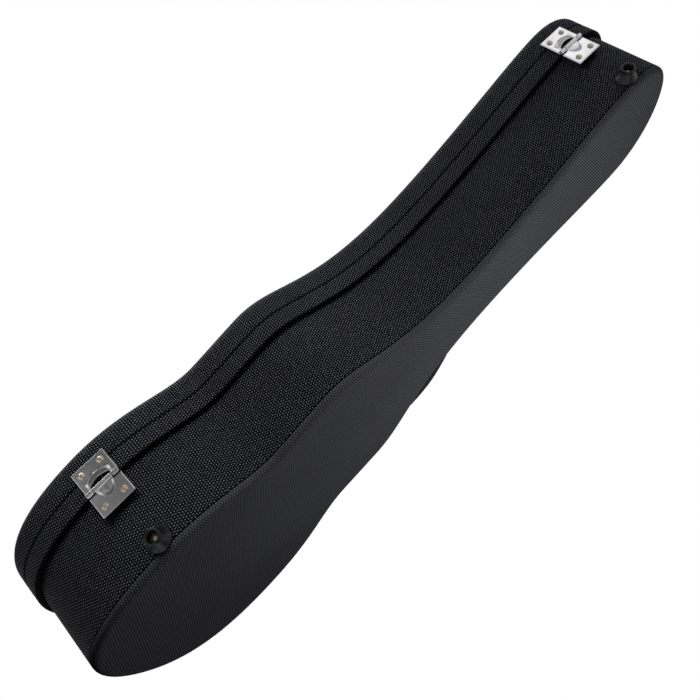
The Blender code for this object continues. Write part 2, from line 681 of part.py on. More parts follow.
def hinge(place, frame, axis):
    half = HINGE_WIDTH / 2
    sheet = Matrix.Translation((0, SEAT + LEAF_THICK / 2, 0)) @ UPRIGHT
    inner = half - KNUCKLE_END
    # The lid leaf runs down to the pin at its two ends, and an arched slot lies between them.
    slot_low = KNUCKLE_RADIUS + KNUCKLE_GAP
    slot_side = slot_low + SLOT_HEIGHT
    lid_sheet = [(-half, 0), (-inner, 0)] + arch(inner, slot_side, SLOT_CROWN, 8) + [(inner, 0), (half, 0)]
    lid_sheet += arc(half - LEAF_CORNER, LEAF_RISE - LEAF_CORNER, LEAF_CORNER, 0, pi / 2, 2)
    lid_sheet += arc(-half + LEAF_CORNER, LEAF_RISE - LEAF_CORNER, LEAF_CORNER, pi / 2, pi, 2)
    leaf = flat("lid_leaf", [lid_sheet], LEAF_THICK, sheet)
    steps = 10
    path = [(x, 0, y) for x, y in arch(inner + KNUCKLE_GAP, slot_side + RIDGE_FROM_SLOT, SLOT_CROWN, steps)]
    swells = [RIDGE_END_SHARE + (1 - RIDGE_END_SHARE) * sin(pi * k / steps) ** 0.5 for k in range(steps + 1)]
    ridge = wire("ridge", path, RIDGE_RADIUS, 2, Matrix.Translation((0, SEAT + LEAF_THICK / 2, 0))
                 @ Matrix.Diagonal((1, (LEAF_THICK / 2 + RIDGE_RISE) / RIDGE_RADIUS, 1, 1)), swells)
    leaf = combine(leaf, [pressed_out(ridge)], "UNION")
    leaf = bored(leaf, [(-half, -inner), (inner, half)])
    leaf.data.transform(frame)
    leaf.name = "hinge_lid_leaf_" + place
    keep(shade(leaf), "chrome", axis)

    body_half = inner - KNUCKLE_GAP
    shoulder = -KNUCKLE_RADIUS - KNUCKLE_GAP
    body_sheet = [(-body_half, 0), (-body_half, shoulder), (-half, shoulder)]
    body_sheet += arc(-half + LEAF_CORNER, -LEAF_DROP + LEAF_CORNER, LEAF_CORNER, pi, 3 * pi / 2, 2)
    body_sheet += arc(half - LEAF_CORNER, -LEAF_DROP + LEAF_CORNER, LEAF_CORNER, -pi / 2, 0, 2)
    body_sheet += [(half, shoulder), (body_half, shoulder), (body_half, 0)]
    leaf = flat("body_leaf", [body_sheet], LEAF_THICK, sheet)
    # The swelling ends inside the knuckle, so that the lid's edge swings clear of it.
    swell = sheet_ball(SWELL_HALF_WIDTH, SWELL_REACH, SWELL_RISE, KNUCKLE_RADIUS / 2 - SWELL_REACH)
    leaf = combine(leaf, [pressed_out(swell)], "UNION")
    leaf = bored(leaf, [(-body_half, body_half)])
    leaf.data.transform(frame)
    leaf.name = "hinge_body_leaf_" + place
    keep(shade(leaf), "chrome")

    pin = flat("hinge_pin_" + place, [circle(PIN_OUT, 0, HINGE_PIN_RADIUS, 12)], HINGE_WIDTH,
               frame @ SIDEWAYS)
    keep(shade(pin), "steel")

    # The block fills the space between the body wall and the leaf, and stops below the valance.
    block = flat("hinge_spacer_" + place, [rounded_box(
        -half + LEAF_THICK, -LEAF_DROP + LEAF_THICK, half - LEAF_THICK, -2 * SEAT, SPACER_CORNER)],
        COVER_STANDS_PROUD - 2 * SEAT,
        frame @ Matrix.Translation((0, -COVER_STANDS_PROUD / 2, 0)) @ UPRIGHT)
    wall = flat("wall", [outline(SEAT)], 4 * LID_TOP)
    keep(combine(block, [wall], "DIFFERENCE"), "block")

    seat = 2 * SEAT + LEAF_THICK
    for number, side in enumerate((-1, 1), 1):
        along = side * HINGE_RIVET_APART / 2
        for leaf, rise, parent in (("lid", LID_RIVET_RISE, axis), ("body", -BODY_RIVET_DROP, None)):
            rivet = dome(f"hinge_{leaf}_rivet_{place}_{number}", HINGE_RIVET_RADIUS, HINGE_RIVET_DOME,
                         out_of(frame, along, seat, rise))
            keep(shade(rivet), "rivet", parent)


def hinges():
    touch, out = hinge_line()
    way = np.array((out[1], -out[0]))
    places = {place: touch + way * (x - touch[0]) / way[0] for place, x in HINGE_PLACES}
    axis = bpy.data.objects.new("lid_axis", None)
    parts.objects.link(axis)
    axis.matrix_world = stand(places["tail"] + out * PIN_OUT, out, VALANCE_BOTTOM)
    bpy.context.view_layer.update()
    for place, point in places.items():
        hinge(place, stand(point, out, VALANCE_BOTTOM), axis)
    return axis


# Feet, below the hinges

def foot_profile(seat):
    """A bored rubber foot: a rounded rim, a slight neck below it and a flare down to the base."""
    crest = FOOT_LENGTH - FOOT_RIM_ROUND
    profile = [(0, seat), (FOOT_BORE_RADIUS, seat)]
    profile += arc(FOOT_BORE_RADIUS + FOOT_RIM_ROUND, crest, FOOT_RIM_ROUND, pi, pi / 2, 3)
    profile += arc(FOOT_RIM_RADIUS - FOOT_RIM_ROUND, crest, FOOT_RIM_ROUND, pi / 2, -pi / 6, 4)
    neck = crest - 2 * FOOT_RIM_ROUND
    for share in np.linspace(0, 1, 5):
        straight = FOOT_NECK_RADIUS + (FOOT_BASE_RADIUS - FOOT_NECK_RADIUS) * share
        profile.append((straight - FOOT_HOLLOW * sin(pi * share), neck + (FOOT_BASE_EDGE - neck) * share))
    return profile + [(FOOT_BASE_RADIUS, 0), (0, 0)]


def feet():
    for place, x in FOOT_PLACES:
        spot, out = plate_at(x, 1, FOOT_BASE_RADIUS)
        frame = out_of(stand(spot, out), 0, SEAT, FOOT_HEIGHT_ON_WALL)
        seat = FOOT_LENGTH - FOOT_BORE_DEPTH
        foot = turned_piece("foot_" + place, foot_profile(seat), 24, frame)
        keep(shade(foot), "rubber")
        screw = dome("foot_screw_" + place, FOOT_SCREW_RADIUS, FOOT_SCREW_HEAD,
                     frame @ Matrix.Translation((0, 0, seat + SEAT)), 16)
        keep(shade(screw), "brass")


# Draw latches

HOOK_SEAT_OUT = COVER_STANDS_PROUD + SEAT + LATCH_SHEET + SEAT + BAIL_WIRE_RADIUS
HOOK_SEAT_HEIGHT = KEEPER_FLOOR + LATCH_SHEET + SEAT + BAIL_WIRE_RADIUS


def plate_rivet(along, face, up, frame=Matrix.Identity(4), radius=LATCH_RIVET_RADIUS, rise=LATCH_RIVET_DOME):
    """A rivet's head that stands on the face of a plate."""
    return dome("rivet", radius, rise + RIVET_SINK, out_of(frame, along, face - RIVET_SINK, up), 8)


def latch_meshes():
    """The pieces of one latch, drawn about the lever's pivot: X along the wall, Y out, Z up."""
    ear_outer = LATCH_EAR_INNER + LATCH_SHEET
    back = -LATCH_PIVOT_OUT + SEAT
    bore = LATCH_PIN_RADIUS + RUNNING_GAP
    base = flat("base", [rounded_box(-LATCH_BASE_WIDTH / 2, -LATCH_BASE_BELOW, LATCH_BASE_WIDTH / 2,
                                     LATCH_BASE_ABOVE, LATCH_BASE_CORNER)],
                LATCH_SHEET, Matrix.Translation((0, back + LATCH_SHEET / 2, 0)) @ UPRIGHT)
    foot = back + LATCH_SHEET / 2
    flare = LATCH_EAR_RADIUS + LATCH_EAR_FLARE
    ear = [(foot, flare), (foot, -flare)]
    ear += arc(0, 0, LATCH_EAR_RADIUS, -pi / 2, pi / 2, 8)
    ears = [flat("ear", [ear, circle(0, 0, bore, 12)], LATCH_SHEET,
                 Matrix.Translation((side * (LATCH_EAR_INNER + LATCH_SHEET / 2), 0, 0)) @ SIDEWAYS)
            for side in (-1, 1)]
    base = combine(base, ears, "UNION")

    pin = flat("pin", [circle(0, 0, LATCH_PIN_RADIUS, 12)], 2 * LATCH_PIN_HALF, SIDEWAYS)

    plate = [(LEVER_STANDS, LATCH_EAR_RADIUS), (LEVER_STANDS, -BAIL_ARM)]
    plate += [(LEVER_STANDS + bent, -share * LEVER_DROP) for share, bent in LEVER_CURL]
    lever = flat("lever", [strip(plate, LATCH_SHEET)], LEVER_WIDTH, SIDEWAYS)
    cheek_low = -BAIL_ARM - LATCH_EAR_RADIUS
    cheek = arc(0, 0, LATCH_EAR_RADIUS, pi / 2, pi, 4)
    cheek += arc(0, -BAIL_ARM, LATCH_EAR_RADIUS, pi, 3 * pi / 2, 4)
    in_plate = LEVER_STANDS + LATCH_SHEET / 4
    cheek += [(in_plate, cheek_low - LATCH_EAR_FLARE), (in_plate, LATCH_EAR_RADIUS)]
    wire_bore = BAIL_WIRE_RADIUS + RUNNING_GAP
    cheek_place = LEVER_WIDTH / 2 - LATCH_SHEET / 2
    cheeks = [flat("cheek", [cheek, circle(0, 0, bore, 12), circle(0, -BAIL_ARM, wire_bore, 12)], LATCH_SHEET,
                   Matrix.Translation((side * cheek_place, 0, 0)) @ SIDEWAYS) for side in (-1, 1)]
    lever = combine(lever, cheeks, "UNION")

    # The bail: up from the lever's cheeks on both sides, and across inside the keeper's hook.
    out = HOOK_SEAT_OUT - LATCH_PIVOT_OUT
    rise = HOOK_SEAT_HEIGHT - (LATCH_PIVOT_HEIGHT - BAIL_ARM)
    inset = LEVER_WIDTH / 2 - LATCH_SHEET
    corners = [(-inset, 0, 0), (-BAIL_HALF_WIDTH, 0, 0), (-BAIL_HALF_WIDTH, out, rise),
               (BAIL_HALF_WIDTH, out, rise), (BAIL_HALF_WIDTH, 0, 0), (inset, 0, 0)]
    bail = wire("bail", bend(corners, BAIL_CORNER), BAIL_WIRE_RADIUS)

    hook_out = COVER_STANDS_PROUD + SEAT + LATCH_SHEET / 2 - LATCH_PIVOT_OUT
    floor = KEEPER_FLOOR + LATCH_SHEET / 2 - LATCH_PIVOT_HEIGHT
    lip_out = hook_out + LATCH_SHEET + KEEPER_TROUGH
    keeper = [(hook_out, floor + KEEPER_RISE), (hook_out, floor), (lip_out, floor),
              (lip_out, floor + LATCH_SHEET / 2 + KEEPER_LIP)]
    keeper = flat("keeper", [strip(keeper, LATCH_SHEET)], KEEPER_WIDTH, SIDEWAYS)

    heads = [plate_rivet(side * LATCH_RIVET_APART / 2, back + LATCH_SHEET, -drop)
             for side in (-1, 1) for drop in LATCH_RIVET_DROPS]
    base = combine(base, heads, "UNION")
    heads = [plate_rivet(side * KEEPER_RIVET_APART / 2, hook_out + LATCH_SHEET / 2, floor + KEEPER_RIVET_RISE)
             for side in (-1, 1)]
    keeper = combine(keeper, heads, "UNION")
    return {"base": base, "pin": pin, "lever": lever, "bail": bail, "keeper": keeper}


def copy_of(source, name, frame):
    ob = bpy.data.objects.new(name, source.data.copy())
    cutters.objects.link(ob)
    ob.matrix_world = frame
    bpy.context.view_layer.update()
    return ob


def latches(lid_axis):
    drawn = latch_meshes()
    bail_pivot = Matrix.Translation((0, 0, -BAIL_ARM))
    for place, x in LATCH_PLACES:
        spot, out = plate_at(x, -1, LATCH_BASE_WIDTH / 2)
        frame = stand(spot + out * LATCH_PIVOT_OUT, out, LATCH_PIVOT_HEIGHT)
        keep(shade(copy_of(drawn["base"], "latch_base_" + place, frame)), "chrome")
        keep(shade(copy_of(drawn["pin"], "latch_pin_" + place, frame)), "steel")
        keep(shade(copy_of(drawn["lever"], "latch_lever_" + place, frame)), "chrome")
        keep(shade(copy_of(drawn["bail"], "latch_bail_" + place, frame @ bail_pivot)), "steel")
        keep(shade(copy_of(drawn["keeper"], "latch_keeper_" + place, frame)), "chrome", lid_axis)
    for ob in drawn.values():
        bpy.data.objects.remove(ob, do_unlink=True)


# Handle

def handle():
    lean = wall_at(HANDLE_X, -1)[1]
    along = np.array((lean[1], -lean[0]))
    ends = [plate_at(HANDLE_X + side * HANDLE_SPAN / 2 * abs(along[0]), -1, BRACKET_LENGTH / 2)
            for side in (-1, 1)]
    chord = ends[0][0] - ends[1][0]
    span = float(np.linalg.norm(chord))
    chord = chord / span
    out = np.array((-chord[1], chord[0]))
    if out @ lean < 0:
        out = -out
    middle = (ends[0][0] + ends[1][0]) / 2
    frame = stand(middle + out * HANDLE_PIVOT_OUT, out, HANDLE_HEIGHT)
    droop = Matrix.Rotation(-HANDLE_DROOP, 4, "X")
    half = span / 2

    for number, (point, facing) in enumerate(ends):
        place = ("head", "tail")[number]
        own = stand(point, facing, HANDLE_HEIGHT)
        sheet = flat("sheet", [rounded_box(-BRACKET_LENGTH / 2, -BRACKET_HEIGHT / 2, BRACKET_LENGTH / 2,
                                           BRACKET_HEIGHT / 2, BRACKET_CORNER)],
                     BRACKET_SHEET, own @ Matrix.Translation((0, SEAT + BRACKET_SHEET / 2, 0)) @ UPRIGHT)
        side = 1 if (point - middle) @ np.array((out[1], -out[0])) > 0 else -1
        foot = -HANDLE_PIVOT_OUT + SEAT + BRACKET_SHEET / 2
        ear = [(foot, BRACKET_EAR_RADIUS), (foot, -BRACKET_EAR_RADIUS)]
        ear += arc(0, 0, BRACKET_EAR_RADIUS, -pi / 2, pi / 2, 8)
        ear = flat("ear", [ear, circle(0, 0, HANDLE_ROD_RADIUS + RUNNING_GAP, 12)], BRACKET_EAR_THICK,
                   frame @ Matrix.Translation((side * half, 0, 0)) @ SIDEWAYS)
        heads = [plate_rivet(step * HANDLE_RIVET_APART / 2, SEAT + BRACKET_SHEET, 0, own,
                             HANDLE_RIVET_RADIUS, HANDLE_RIVET_DOME) for step in (-1, 1)]
        bracket = combine(sheet, [ear] + heads, "UNION")
        bracket.name = "handle_bracket_" + place
        keep(shade(bracket), "steel")

    # The rod: out through each bracket's ear, round a corner and along the grip.
    tip = half + BRACKET_EAR_THICK / 2 + 2 * SEAT
    arm = half - BRACKET_EAR_THICK / 2 - 2 * SEAT - HANDLE_ROD_RADIUS
    corners = [(-tip, 0, 0), (-arm, 0, 0), (-arm, HANDLE_REACH, 0),
               (arm, HANDLE_REACH, 0), (arm, 0, 0), (tip, 0, 0)]
    path = [Vector(corners[0])]
    for i in range(1, 5):
        radius = HANDLE_ROD_CORNER if i in (2, 3) else HANDLE_ROD_RADIUS * 1.1
        path += bend([corners[i - 1], corners[i], corners[i + 1]], radius, 4)[1:-1]
    path.append(Vector(corners[5]))
    rod = wire("handle_rod", path, HANDLE_ROD_RADIUS, 2)
    rod.matrix_world = frame @ droop
    keep(shade(rod), "steel")

    hole = HANDLE_ROD_RADIUS + SEAT
    grip_half = arm - HANDLE_ROD_CORNER - SEAT
    profile = [(hole, grip_half), (GRIP_END_RADIUS - GRIP_CHAMFER, grip_half),
               (GRIP_END_RADIUS, grip_half - GRIP_CHAMFER)]
    for share in (0.75, 0.5, 0.25, 0.0, -0.25, -0.5, -0.75):
        swell = (GRIP_RADIUS - GRIP_END_RADIUS) * cos(share * pi / 2)
        profile.append((GRIP_END_RADIUS + swell, share * grip_half))
    profile += [(GRIP_END_RADIUS, GRIP_CHAMFER - grip_half), (GRIP_END_RADIUS - GRIP_CHAMFER, -grip_half),
                (hole, -grip_half), (hole, grip_half)]
    grip = turned_piece("handle_grip", profile, 18,
                        Matrix.Translation((0, HANDLE_REACH, 0)) @ Matrix.Rotation(radians(90), 4, "Y"))
    grip.matrix_world = frame @ droop
    keep(shade(grip, radians(50)), "grip")


body_shell()
linings()
compartment()
lid_axis = hinges()
lid_shell(lid_axis)
feet()
latches(lid_axis)
handle()
bpy.context.view_layer.update()
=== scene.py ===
import json
import math

import bmesh
import bpy
import numpy as np
from mathutils import Matrix, Vector


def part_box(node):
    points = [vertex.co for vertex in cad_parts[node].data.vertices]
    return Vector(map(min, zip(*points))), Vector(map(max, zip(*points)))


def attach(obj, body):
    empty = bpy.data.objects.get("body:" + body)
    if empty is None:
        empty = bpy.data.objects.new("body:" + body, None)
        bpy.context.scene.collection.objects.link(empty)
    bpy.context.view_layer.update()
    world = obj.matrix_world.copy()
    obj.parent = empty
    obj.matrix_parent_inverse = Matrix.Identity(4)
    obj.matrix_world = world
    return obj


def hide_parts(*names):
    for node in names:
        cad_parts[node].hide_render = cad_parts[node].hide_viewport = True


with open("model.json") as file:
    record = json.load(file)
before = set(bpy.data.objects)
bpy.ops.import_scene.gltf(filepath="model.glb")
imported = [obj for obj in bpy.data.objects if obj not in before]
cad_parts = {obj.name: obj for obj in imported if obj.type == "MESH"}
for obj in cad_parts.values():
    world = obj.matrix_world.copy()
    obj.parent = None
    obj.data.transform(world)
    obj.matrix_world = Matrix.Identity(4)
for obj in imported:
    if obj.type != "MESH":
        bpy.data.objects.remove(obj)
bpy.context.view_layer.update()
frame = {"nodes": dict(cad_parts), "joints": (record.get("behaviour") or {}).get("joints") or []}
scene = bpy.context.scene
joints = {joint["name"]: joint for joint in frame["joints"]}
print("frame loaded:", len(frame["nodes"]), "nodes")

cameraSet = {
    "place": (0.0835, 0.4745, -0.1547),
    "azimuth": 6.8, "elevation": -22.7, "roll": -50.23,
    "focal": 611.9, "shift": (-8.3, 5.2), "picture": 700,  # in pixels
    "sensor": 36, "near": 0.01,
}


def picked(look, keys):
    # several settings at once
    return (look[key] for key in keys.split())


def newObject(name, data):
    ob = bpy.data.objects.new(name, data)
    scene.collection.objects.link(ob)
    return ob


def placeCamera(look):
    # it looks along the opposite of the way given by azimuth and elevation, then rolls about that way
    az, el, roll = (math.radians(angle) for angle in picked(look, "azimuth elevation roll"))
    ahead = -Vector((math.sin(az) * math.cos(el), math.cos(az) * math.cos(el), math.sin(el)))
    level = ahead.cross(Vector((0, 0, 1))).normalized()
    lift = level.cross(ahead)
    right = level * math.cos(roll) + lift * math.sin(roll)
    top = lift * math.cos(roll) - level * math.sin(roll)
    lens = bpy.data.cameras.new("camera")
    lens.sensor_width = look["sensor"]
    lens.lens = look["focal"] / look["picture"] * look["sensor"]
    lens.shift_x, lens.shift_y = (pixels / look["picture"] for pixels in look["shift"])
    lens.clip_start = look["near"]
    camera = newObject("camera", lens)
    turn = Matrix((right, top, -ahead)).transposed().to_4x4()
    camera.matrix_world = Matrix.Translation(look["place"]) @ turn
    scene.camera = camera


placeCamera(cameraSet)
scene.view_settings.view_transform = "Standard"


# A shader socket that can stand in a sum, and the one way to add any other node.
class Term:
    def __init__(self, tree, socket=None):
        self.tree, self.socket = tree, socket

    def make(self, kind, settings=None, sockets=None, out=0):
        node = self.tree.nodes.new("ShaderNode" + kind)
        for key, value in (settings or {}).items():
            setattr(node, key, value)
        for key, value in (sockets or {}).items():
            if isinstance(value, Term):
                self.tree.links.new(value.socket, node.inputs[key])
            else:
                node.inputs[key].default_value = value
        return Term(self.tree, node.outputs[out] if len(node.outputs) else None)

    def maths(self, operation, *values):
        return self.make("Math", {"operation": operation}, dict(enumerate(values)))

    def __add__(self, other):
        return self.maths("ADD", self, other)

    def __radd__(self, other):
        return self.maths("ADD", other, self)

    def __sub__(self, other):
        return self.maths("SUBTRACT", self, other)

    def __rsub__(self, other):
        return self.maths("SUBTRACT", other, self)

    def __mul__(self, other):
        return self.maths("MULTIPLY", self, other)

    def __rmul__(self, other):
        return self.maths("MULTIPLY", other, self)

    def wave(self, pitch):
        return self.maths("COSINE", self * (2 * math.pi / pitch))

    def soft(self, low, high, least=0.0, most=1.0):
        sockets = {"Value": self, "From Min": low, "From Max": high, "To Min": least, "To Max": most}
        return self.make("MapRange", {"interpolation_type": "SMOOTHSTEP"}, sockets)

    def outlet(self, name):
        return Term(self.tree, self.socket.node.outputs[name])

    def parts(self):
        split = self.make("SeparateXYZ", None, {0: self})
        return [split.outlet(axis) for axis in "XYZ"]

    def noise(self, scale, detail=2.0, roughness=0.5):
        sockets = {"Vector": self, "Scale": scale, "Detail": detail, "Roughness": roughness}
        return self.make("TexNoise", None, sockets)

    def place(self):
        return self.make("TexCoord", out=3)

    def uneven(self, scale, detail, least, most, roughness=0.5):
        # noise spread smoothly over a range of shares
        return self.noise(scale, detail, roughness).soft(0.30, 0.70, least, most)

    def stretched(self, *scale):
        return self.make("Mapping", None, {"Vector": self, "Scale": scale})

    def blend(self, first, second):
        return self.make("Mix", {"data_type": "RGBA"}, {0: self, 6: first, 7: second}, 2)

    def bump(self, strength, distance):
        return self.make("Bump", None, {"Strength": strength, "Distance": distance, "Height": self})

    def feed(self, shader, socket):
        self.tree.links.new(self.socket, shader.inputs[socket])


def newFinish(name, **fixed):
    material = bpy.data.materials.new(name)
    material.use_nodes = True
    shader = material.node_tree.nodes["Principled BSDF"]
    for socket, value in fixed.items():
        shader.inputs[socket.replace("_", " ")].default_value = value
    return material, Term(material.node_tree)


def emptyFinish(name):
    material, ink = newFinish(name)
    material.node_tree.nodes.clear()
    return material, ink


def painted(material, tone, colours, rough, rise, strength, relief=0.0002):
    # a colour between two, a roughness where it varies, and a surface that is bumped
    shader = material.node_tree.nodes["Principled BSDF"]
    tone.blend(*colours).feed(shader, "Base Color")
    if rough:
        rough.feed(shader, "Roughness")
    rise.bump(strength, relief).feed(shader, "Normal")
    return material


def grey(value, tint=(1.0, 1.0, 1.0)):
    return tuple(value * share for share in tint) + (1.0,)


def times(colour, gain):
    return tuple(channel * gain for channel in colour[:3]) + (1.0,)


# The stage: floor, studio walls that only reflections see, world and lamps.
stageSet = {
    "floorSize": 3.0, "floorDrop": 0.0006, "floorColour": grey(0.93), "floorFade": (0.50, 1.15),
    "wallRadius": 2.6, "dim": 0.27, "bright": 1.20, "ambient": 0.045,
    "bands": (0.22, 0.71, 1.5), "bandEdge": (-0.45, 0.55),  # lean, shift and pitch, in wall radii
    "shelves": (0.39, 0.6), "shelfEdge": (-0.6, 0.4), "shelfDim": 0.42,
    "patchScale": 4.2, "patchDim": 0.50,
    "lamps": (  # name, place, aimed at, size in metres, watts, seen by mirrors
        ("headSide", (-1.20, 0.50, 0.70), (0.00, 0.06, 0.04), 0.8, 8.4, False),
        ("boutSide", (0.04, 0.52, 0.30), (0.12, 0.10, 0.04), 0.25, 1.9, False),
        ("top", (0.05, -0.25, 1.50), (0.00, 0.00, 0.08), 1.2, 16.0, True),
        ("latchSide", (0.20, -1.30, 0.70), (0.00, -0.05, 0.05), 0.9, 12.0, True),
        ("under", (-0.13, 0.00, -0.38), (-0.13, 0.00, 0.00), 0.2, 1.5, False),
    ),
}


def addStage(name, mesh, material):
    ob = newObject(name, mesh)
    mesh.materials.append(material)
    return ob


def addFloor(look):
    # it shows only to the camera and only from above, so that the case can also be seen from below,
    # and it fades out with distance into the white behind it
    half, drop = look["floorSize"] / 2, -look["floorDrop"]
    mesh = bpy.data.meshes.new("floor")
    corners = [(-half, -half, drop), (half, -half, drop), (half, half, drop), (-half, half, drop)]
    mesh.from_pydata(corners, [], [(0, 1, 2, 3)])
    material, ink = emptyFinish("floorPaper")
    camera = ink.make("LightPath").outlet("Is Camera Ray")
    behind = ink.make("NewGeometry").outlet("Backfacing")
    spot = ink.place()
    away = ink.make("VectorMath", {"operation": "LENGTH"}, {0: spot}, "Value")
    near = away.soft(*look["floorFade"], 1.0, 0.0)
    paper = ink.make("BsdfDiffuse", None, {"Color": look["floorColour"]})
    clear = ink.make("BsdfTransparent")
    shown = camera * (1 - behind) * near
    mixed = ink.make("MixShader", None, {0: shown, 1: clear, 2: paper})
    ink.make("OutputMaterial", None, {"Surface": mixed})
    addStage("floor", mesh, material)


def addStudioWalls(look):
    # a ball round the case in soft bands, crossed by shelves and patches, for the metal to mirror
    radius = look["wallRadius"]
    shape = bmesh.new()
    bmesh.ops.create_uvsphere(shape, u_segments=48, v_segments=24, radius=radius)
    mesh = bpy.data.meshes.new("studioWalls")
    shape.to_mesh(mesh)
    shape.free()
    material, ink = emptyFinish("studioWalls")
    place = ink.place()
    x, _, z = place.parts()
    lean, shift, pitch = look["bands"]
    across = x * (1 / radius) - z * (lean / radius) + shift
    bands = across.wave(pitch).soft(*look["bandEdge"], look["dim"], 1.0)
    patches = place.uneven(look["patchScale"], 2.0, look["patchDim"], 1.0)
    height, apart = look["shelves"]
    shelves = (z * (1 / radius) - height).wave(apart).soft(*look["shelfEdge"], look["shelfDim"], 1.0)
    glow = (bands * patches * shelves).blend(grey(0.0), grey(1.0))
    lit = ink.make("Emission", None, {"Color": glow, "Strength": look["bright"]})
    ink.make("OutputMaterial", None, {"Surface": lit})
    walls = addStage("studioWalls", mesh, material)
    walls.visible_camera = walls.visible_diffuse = walls.visible_shadow = False
    walls.visible_transmission = walls.visible_volume_scatter = False


def lightWorld(look):
    # white to the camera, mirrors and glass, and dim to everything else
    world = bpy.data.worlds.new("studio")
    world.use_nodes = True
    scene.world = world
    ink = Term(world.node_tree)
    rays = ink.make("LightPath")
    shown = rays.outlet("Is Camera Ray")
    for name in ("Is Glossy Ray", "Is Transmission Ray"):
        shown = shown.maths("MAXIMUM", shown, rays.outlet(name))
    ground = world.node_tree.nodes["Background"]
    ground.inputs["Color"].default_value = grey(1.0)
    shown.soft(0.0, 1.0, look["ambient"], 1.0).feed(ground, "Strength")


def hangLamps(look):
    # square lamps that face what they are aimed at
    for name, place, aim, size, watts, mirrored in look["lamps"]:
        lamp = bpy.data.lights.new(name, "AREA")
        lamp.shape = "SQUARE"
        lamp.size, lamp.energy = size, watts
        ob = newObject(name, lamp)
        away = Vector(place) - Vector(aim)
        ob.matrix_world = Matrix.Translation(place) @ away.to_track_quat("Z", "Y").to_matrix().to_4x4()
        ob.visible_camera, ob.visible_glossy = False, mirrored


for build in (addFloor, addStudioWalls, lightWorld, hangLamps):
    build(stageSet)
print("camera, floor and lamps placed")


# The plan of the case.
planSet = {
    "halfLength": 0.325, "tailRound": 0.0820, "headRound": 0.0310, "points": 560, "spanSteps": 400,
    "stations": (  # x, half width, and the curve's reach to the tail and to the head
        (0.2200, 0.1150, 0.0660, 0.0480),
        (0.1240, 0.0865, 0.0260, 0.0120),
        (0.0740, 0.0885, 0.0140, 0.0390),
        (-0.0840, 0.0396, 0.1020, 0.0750),
        (-0.2700, 0.0565, 0.0390, 0.0360),
    ),
}


def casePlan(look):
    # cubic curves from station to station, mirrored, then points at even steps of length along them
    end = look["halfLength"]
    knots = [((end, 0), (end, 0), (end, look["tailRound"]))]
    for x, half, tailward, headward in look["stations"]:
        knots.append(((x, half), (x + tailward, half), (x - headward, half)))
    knots.append(((-end, 0), (-end, look["headRound"]), (-end, 0)))
    t = np.linspace(0, 1, look["spanSteps"], endpoint=False)[:, None]
    spans = []
    for (a, _, b), (d, c, _) in zip(knots, knots[1:]):
        a, b, c, d = (np.array(point, float) for point in (a, b, c, d))
        spans.append((1 - t) ** 3 * a + 3 * (1 - t) ** 2 * t * b + 3 * (1 - t) * t ** 2 * c + t ** 3 * d)
    half = np.vstack(spans + [[(-end, 0.0)]])
    whole = np.vstack([half, (half[1:-1] * (1, -1))[::-1], half[:1]])
    walked = np.concatenate([[0], np.cumsum(np.hypot(*np.diff(whole, axis=0).T))])
    arcs = np.linspace(0, walked[-1], look["points"] + 1)
    points = np.column_stack([np.interp(arcs[:-1], walked, column) for column in whole.T])
    along = np.roll(points, -1, 0) - np.roll(points, 1, 0)
    outs = np.column_stack([along[:, 1], -along[:, 0]]) / np.hypot(*along.T)[:, None]
    return points, outs, arcs


wallPoints, wallOuts, wallArcs = casePlan(planSet)
wallLength = wallArcs[-1]


def planAt(arc):
    # points of the wall and the ways out of it, at lengths along the outline
    columns = [np.interp(np.mod(arc, wallLength), wallArcs, np.append(column, column[0]))
               for column in (*wallPoints.T, *wallOuts.T)]
    out = np.stack(columns[2:], -1)
    return np.stack(columns[:2], -1), out / np.linalg.norm(out, axis=-1, keepdims=True)


def arcAt(x):
    # length along the outline to the hinge side's wall at x
    half = len(wallPoints) // 2 + 1
    return np.interp(-x, -wallPoints[:half, 0], wallArcs[:half])


def gridFaces(rows, columns, wrapRows=False, wrapColumns=False):
    # faces of a grid of points[i, j], joined round to the first row or column where it wraps
    i = np.arange(rows if wrapRows else rows - 1)[:, None]
    j = np.arange(columns if wrapColumns else columns - 1)[None, :]
    nextI, nextJ = (i + 1) % rows, (j + 1) % columns
    corners = (i * columns + j, nextI * columns + j, nextI * columns + nextJ, i * columns + nextJ)
    return np.stack(corners, -1).reshape(-1, 4)


def storeMesh(name, points, faces, uvs=None):
    # a mesh of four-sided faces
    mesh = bpy.data.meshes.new(name)
    mesh.vertices.add(len(points))
    mesh.vertices.foreach_set("co", np.asarray(points, np.float32).ravel())
    mesh.loops.add(faces.size)
    mesh.loops.foreach_set("vertex_index", faces.astype(np.int32).ravel())
    mesh.polygons.add(len(faces))
    mesh.polygons.foreach_set("loop_start", np.arange(0, faces.size, 4, dtype=np.int32))
    mesh.update(calc_edges=True)
    if uvs is not None:
        mesh.uv_layers.new(name="weave").data.foreach_set("uv", np.asarray(uvs, np.float32).ravel())
    return mesh


def closeSeams(mesh, weld=0.000004):
    # doubled points merged, faces without area taken out, and all faces turned outwards
    shape = bmesh.new()
    shape.from_mesh(mesh)
    bmesh.ops.remove_doubles(shape, verts=shape.verts, dist=weld)
    bmesh.ops.dissolve_degenerate(shape, edges=shape.edges, dist=weld / 8)
    bmesh.ops.recalc_face_normals(shape, faces=shape.faces)
    shape.to_mesh(mesh)
    shape.free()
    return mesh


def addPiece(name, mesh, finish, body, replaced=(), sharp=35):
    ob = newObject(name, mesh)
    mesh.shade_smooth()
    if sharp:
        mesh.set_sharp_from_angle(angle=math.radians(sharp))
    mesh.materials.clear()
    mesh.materials.append(finish)
    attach(ob, body)
    if replaced:
        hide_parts(*replaced)
    return ob


def moved(points, place):
    # points turned and shifted by a matrix
    turn = np.array(place)
    return points @ turn[:3, :3].T + turn[:3, 3]


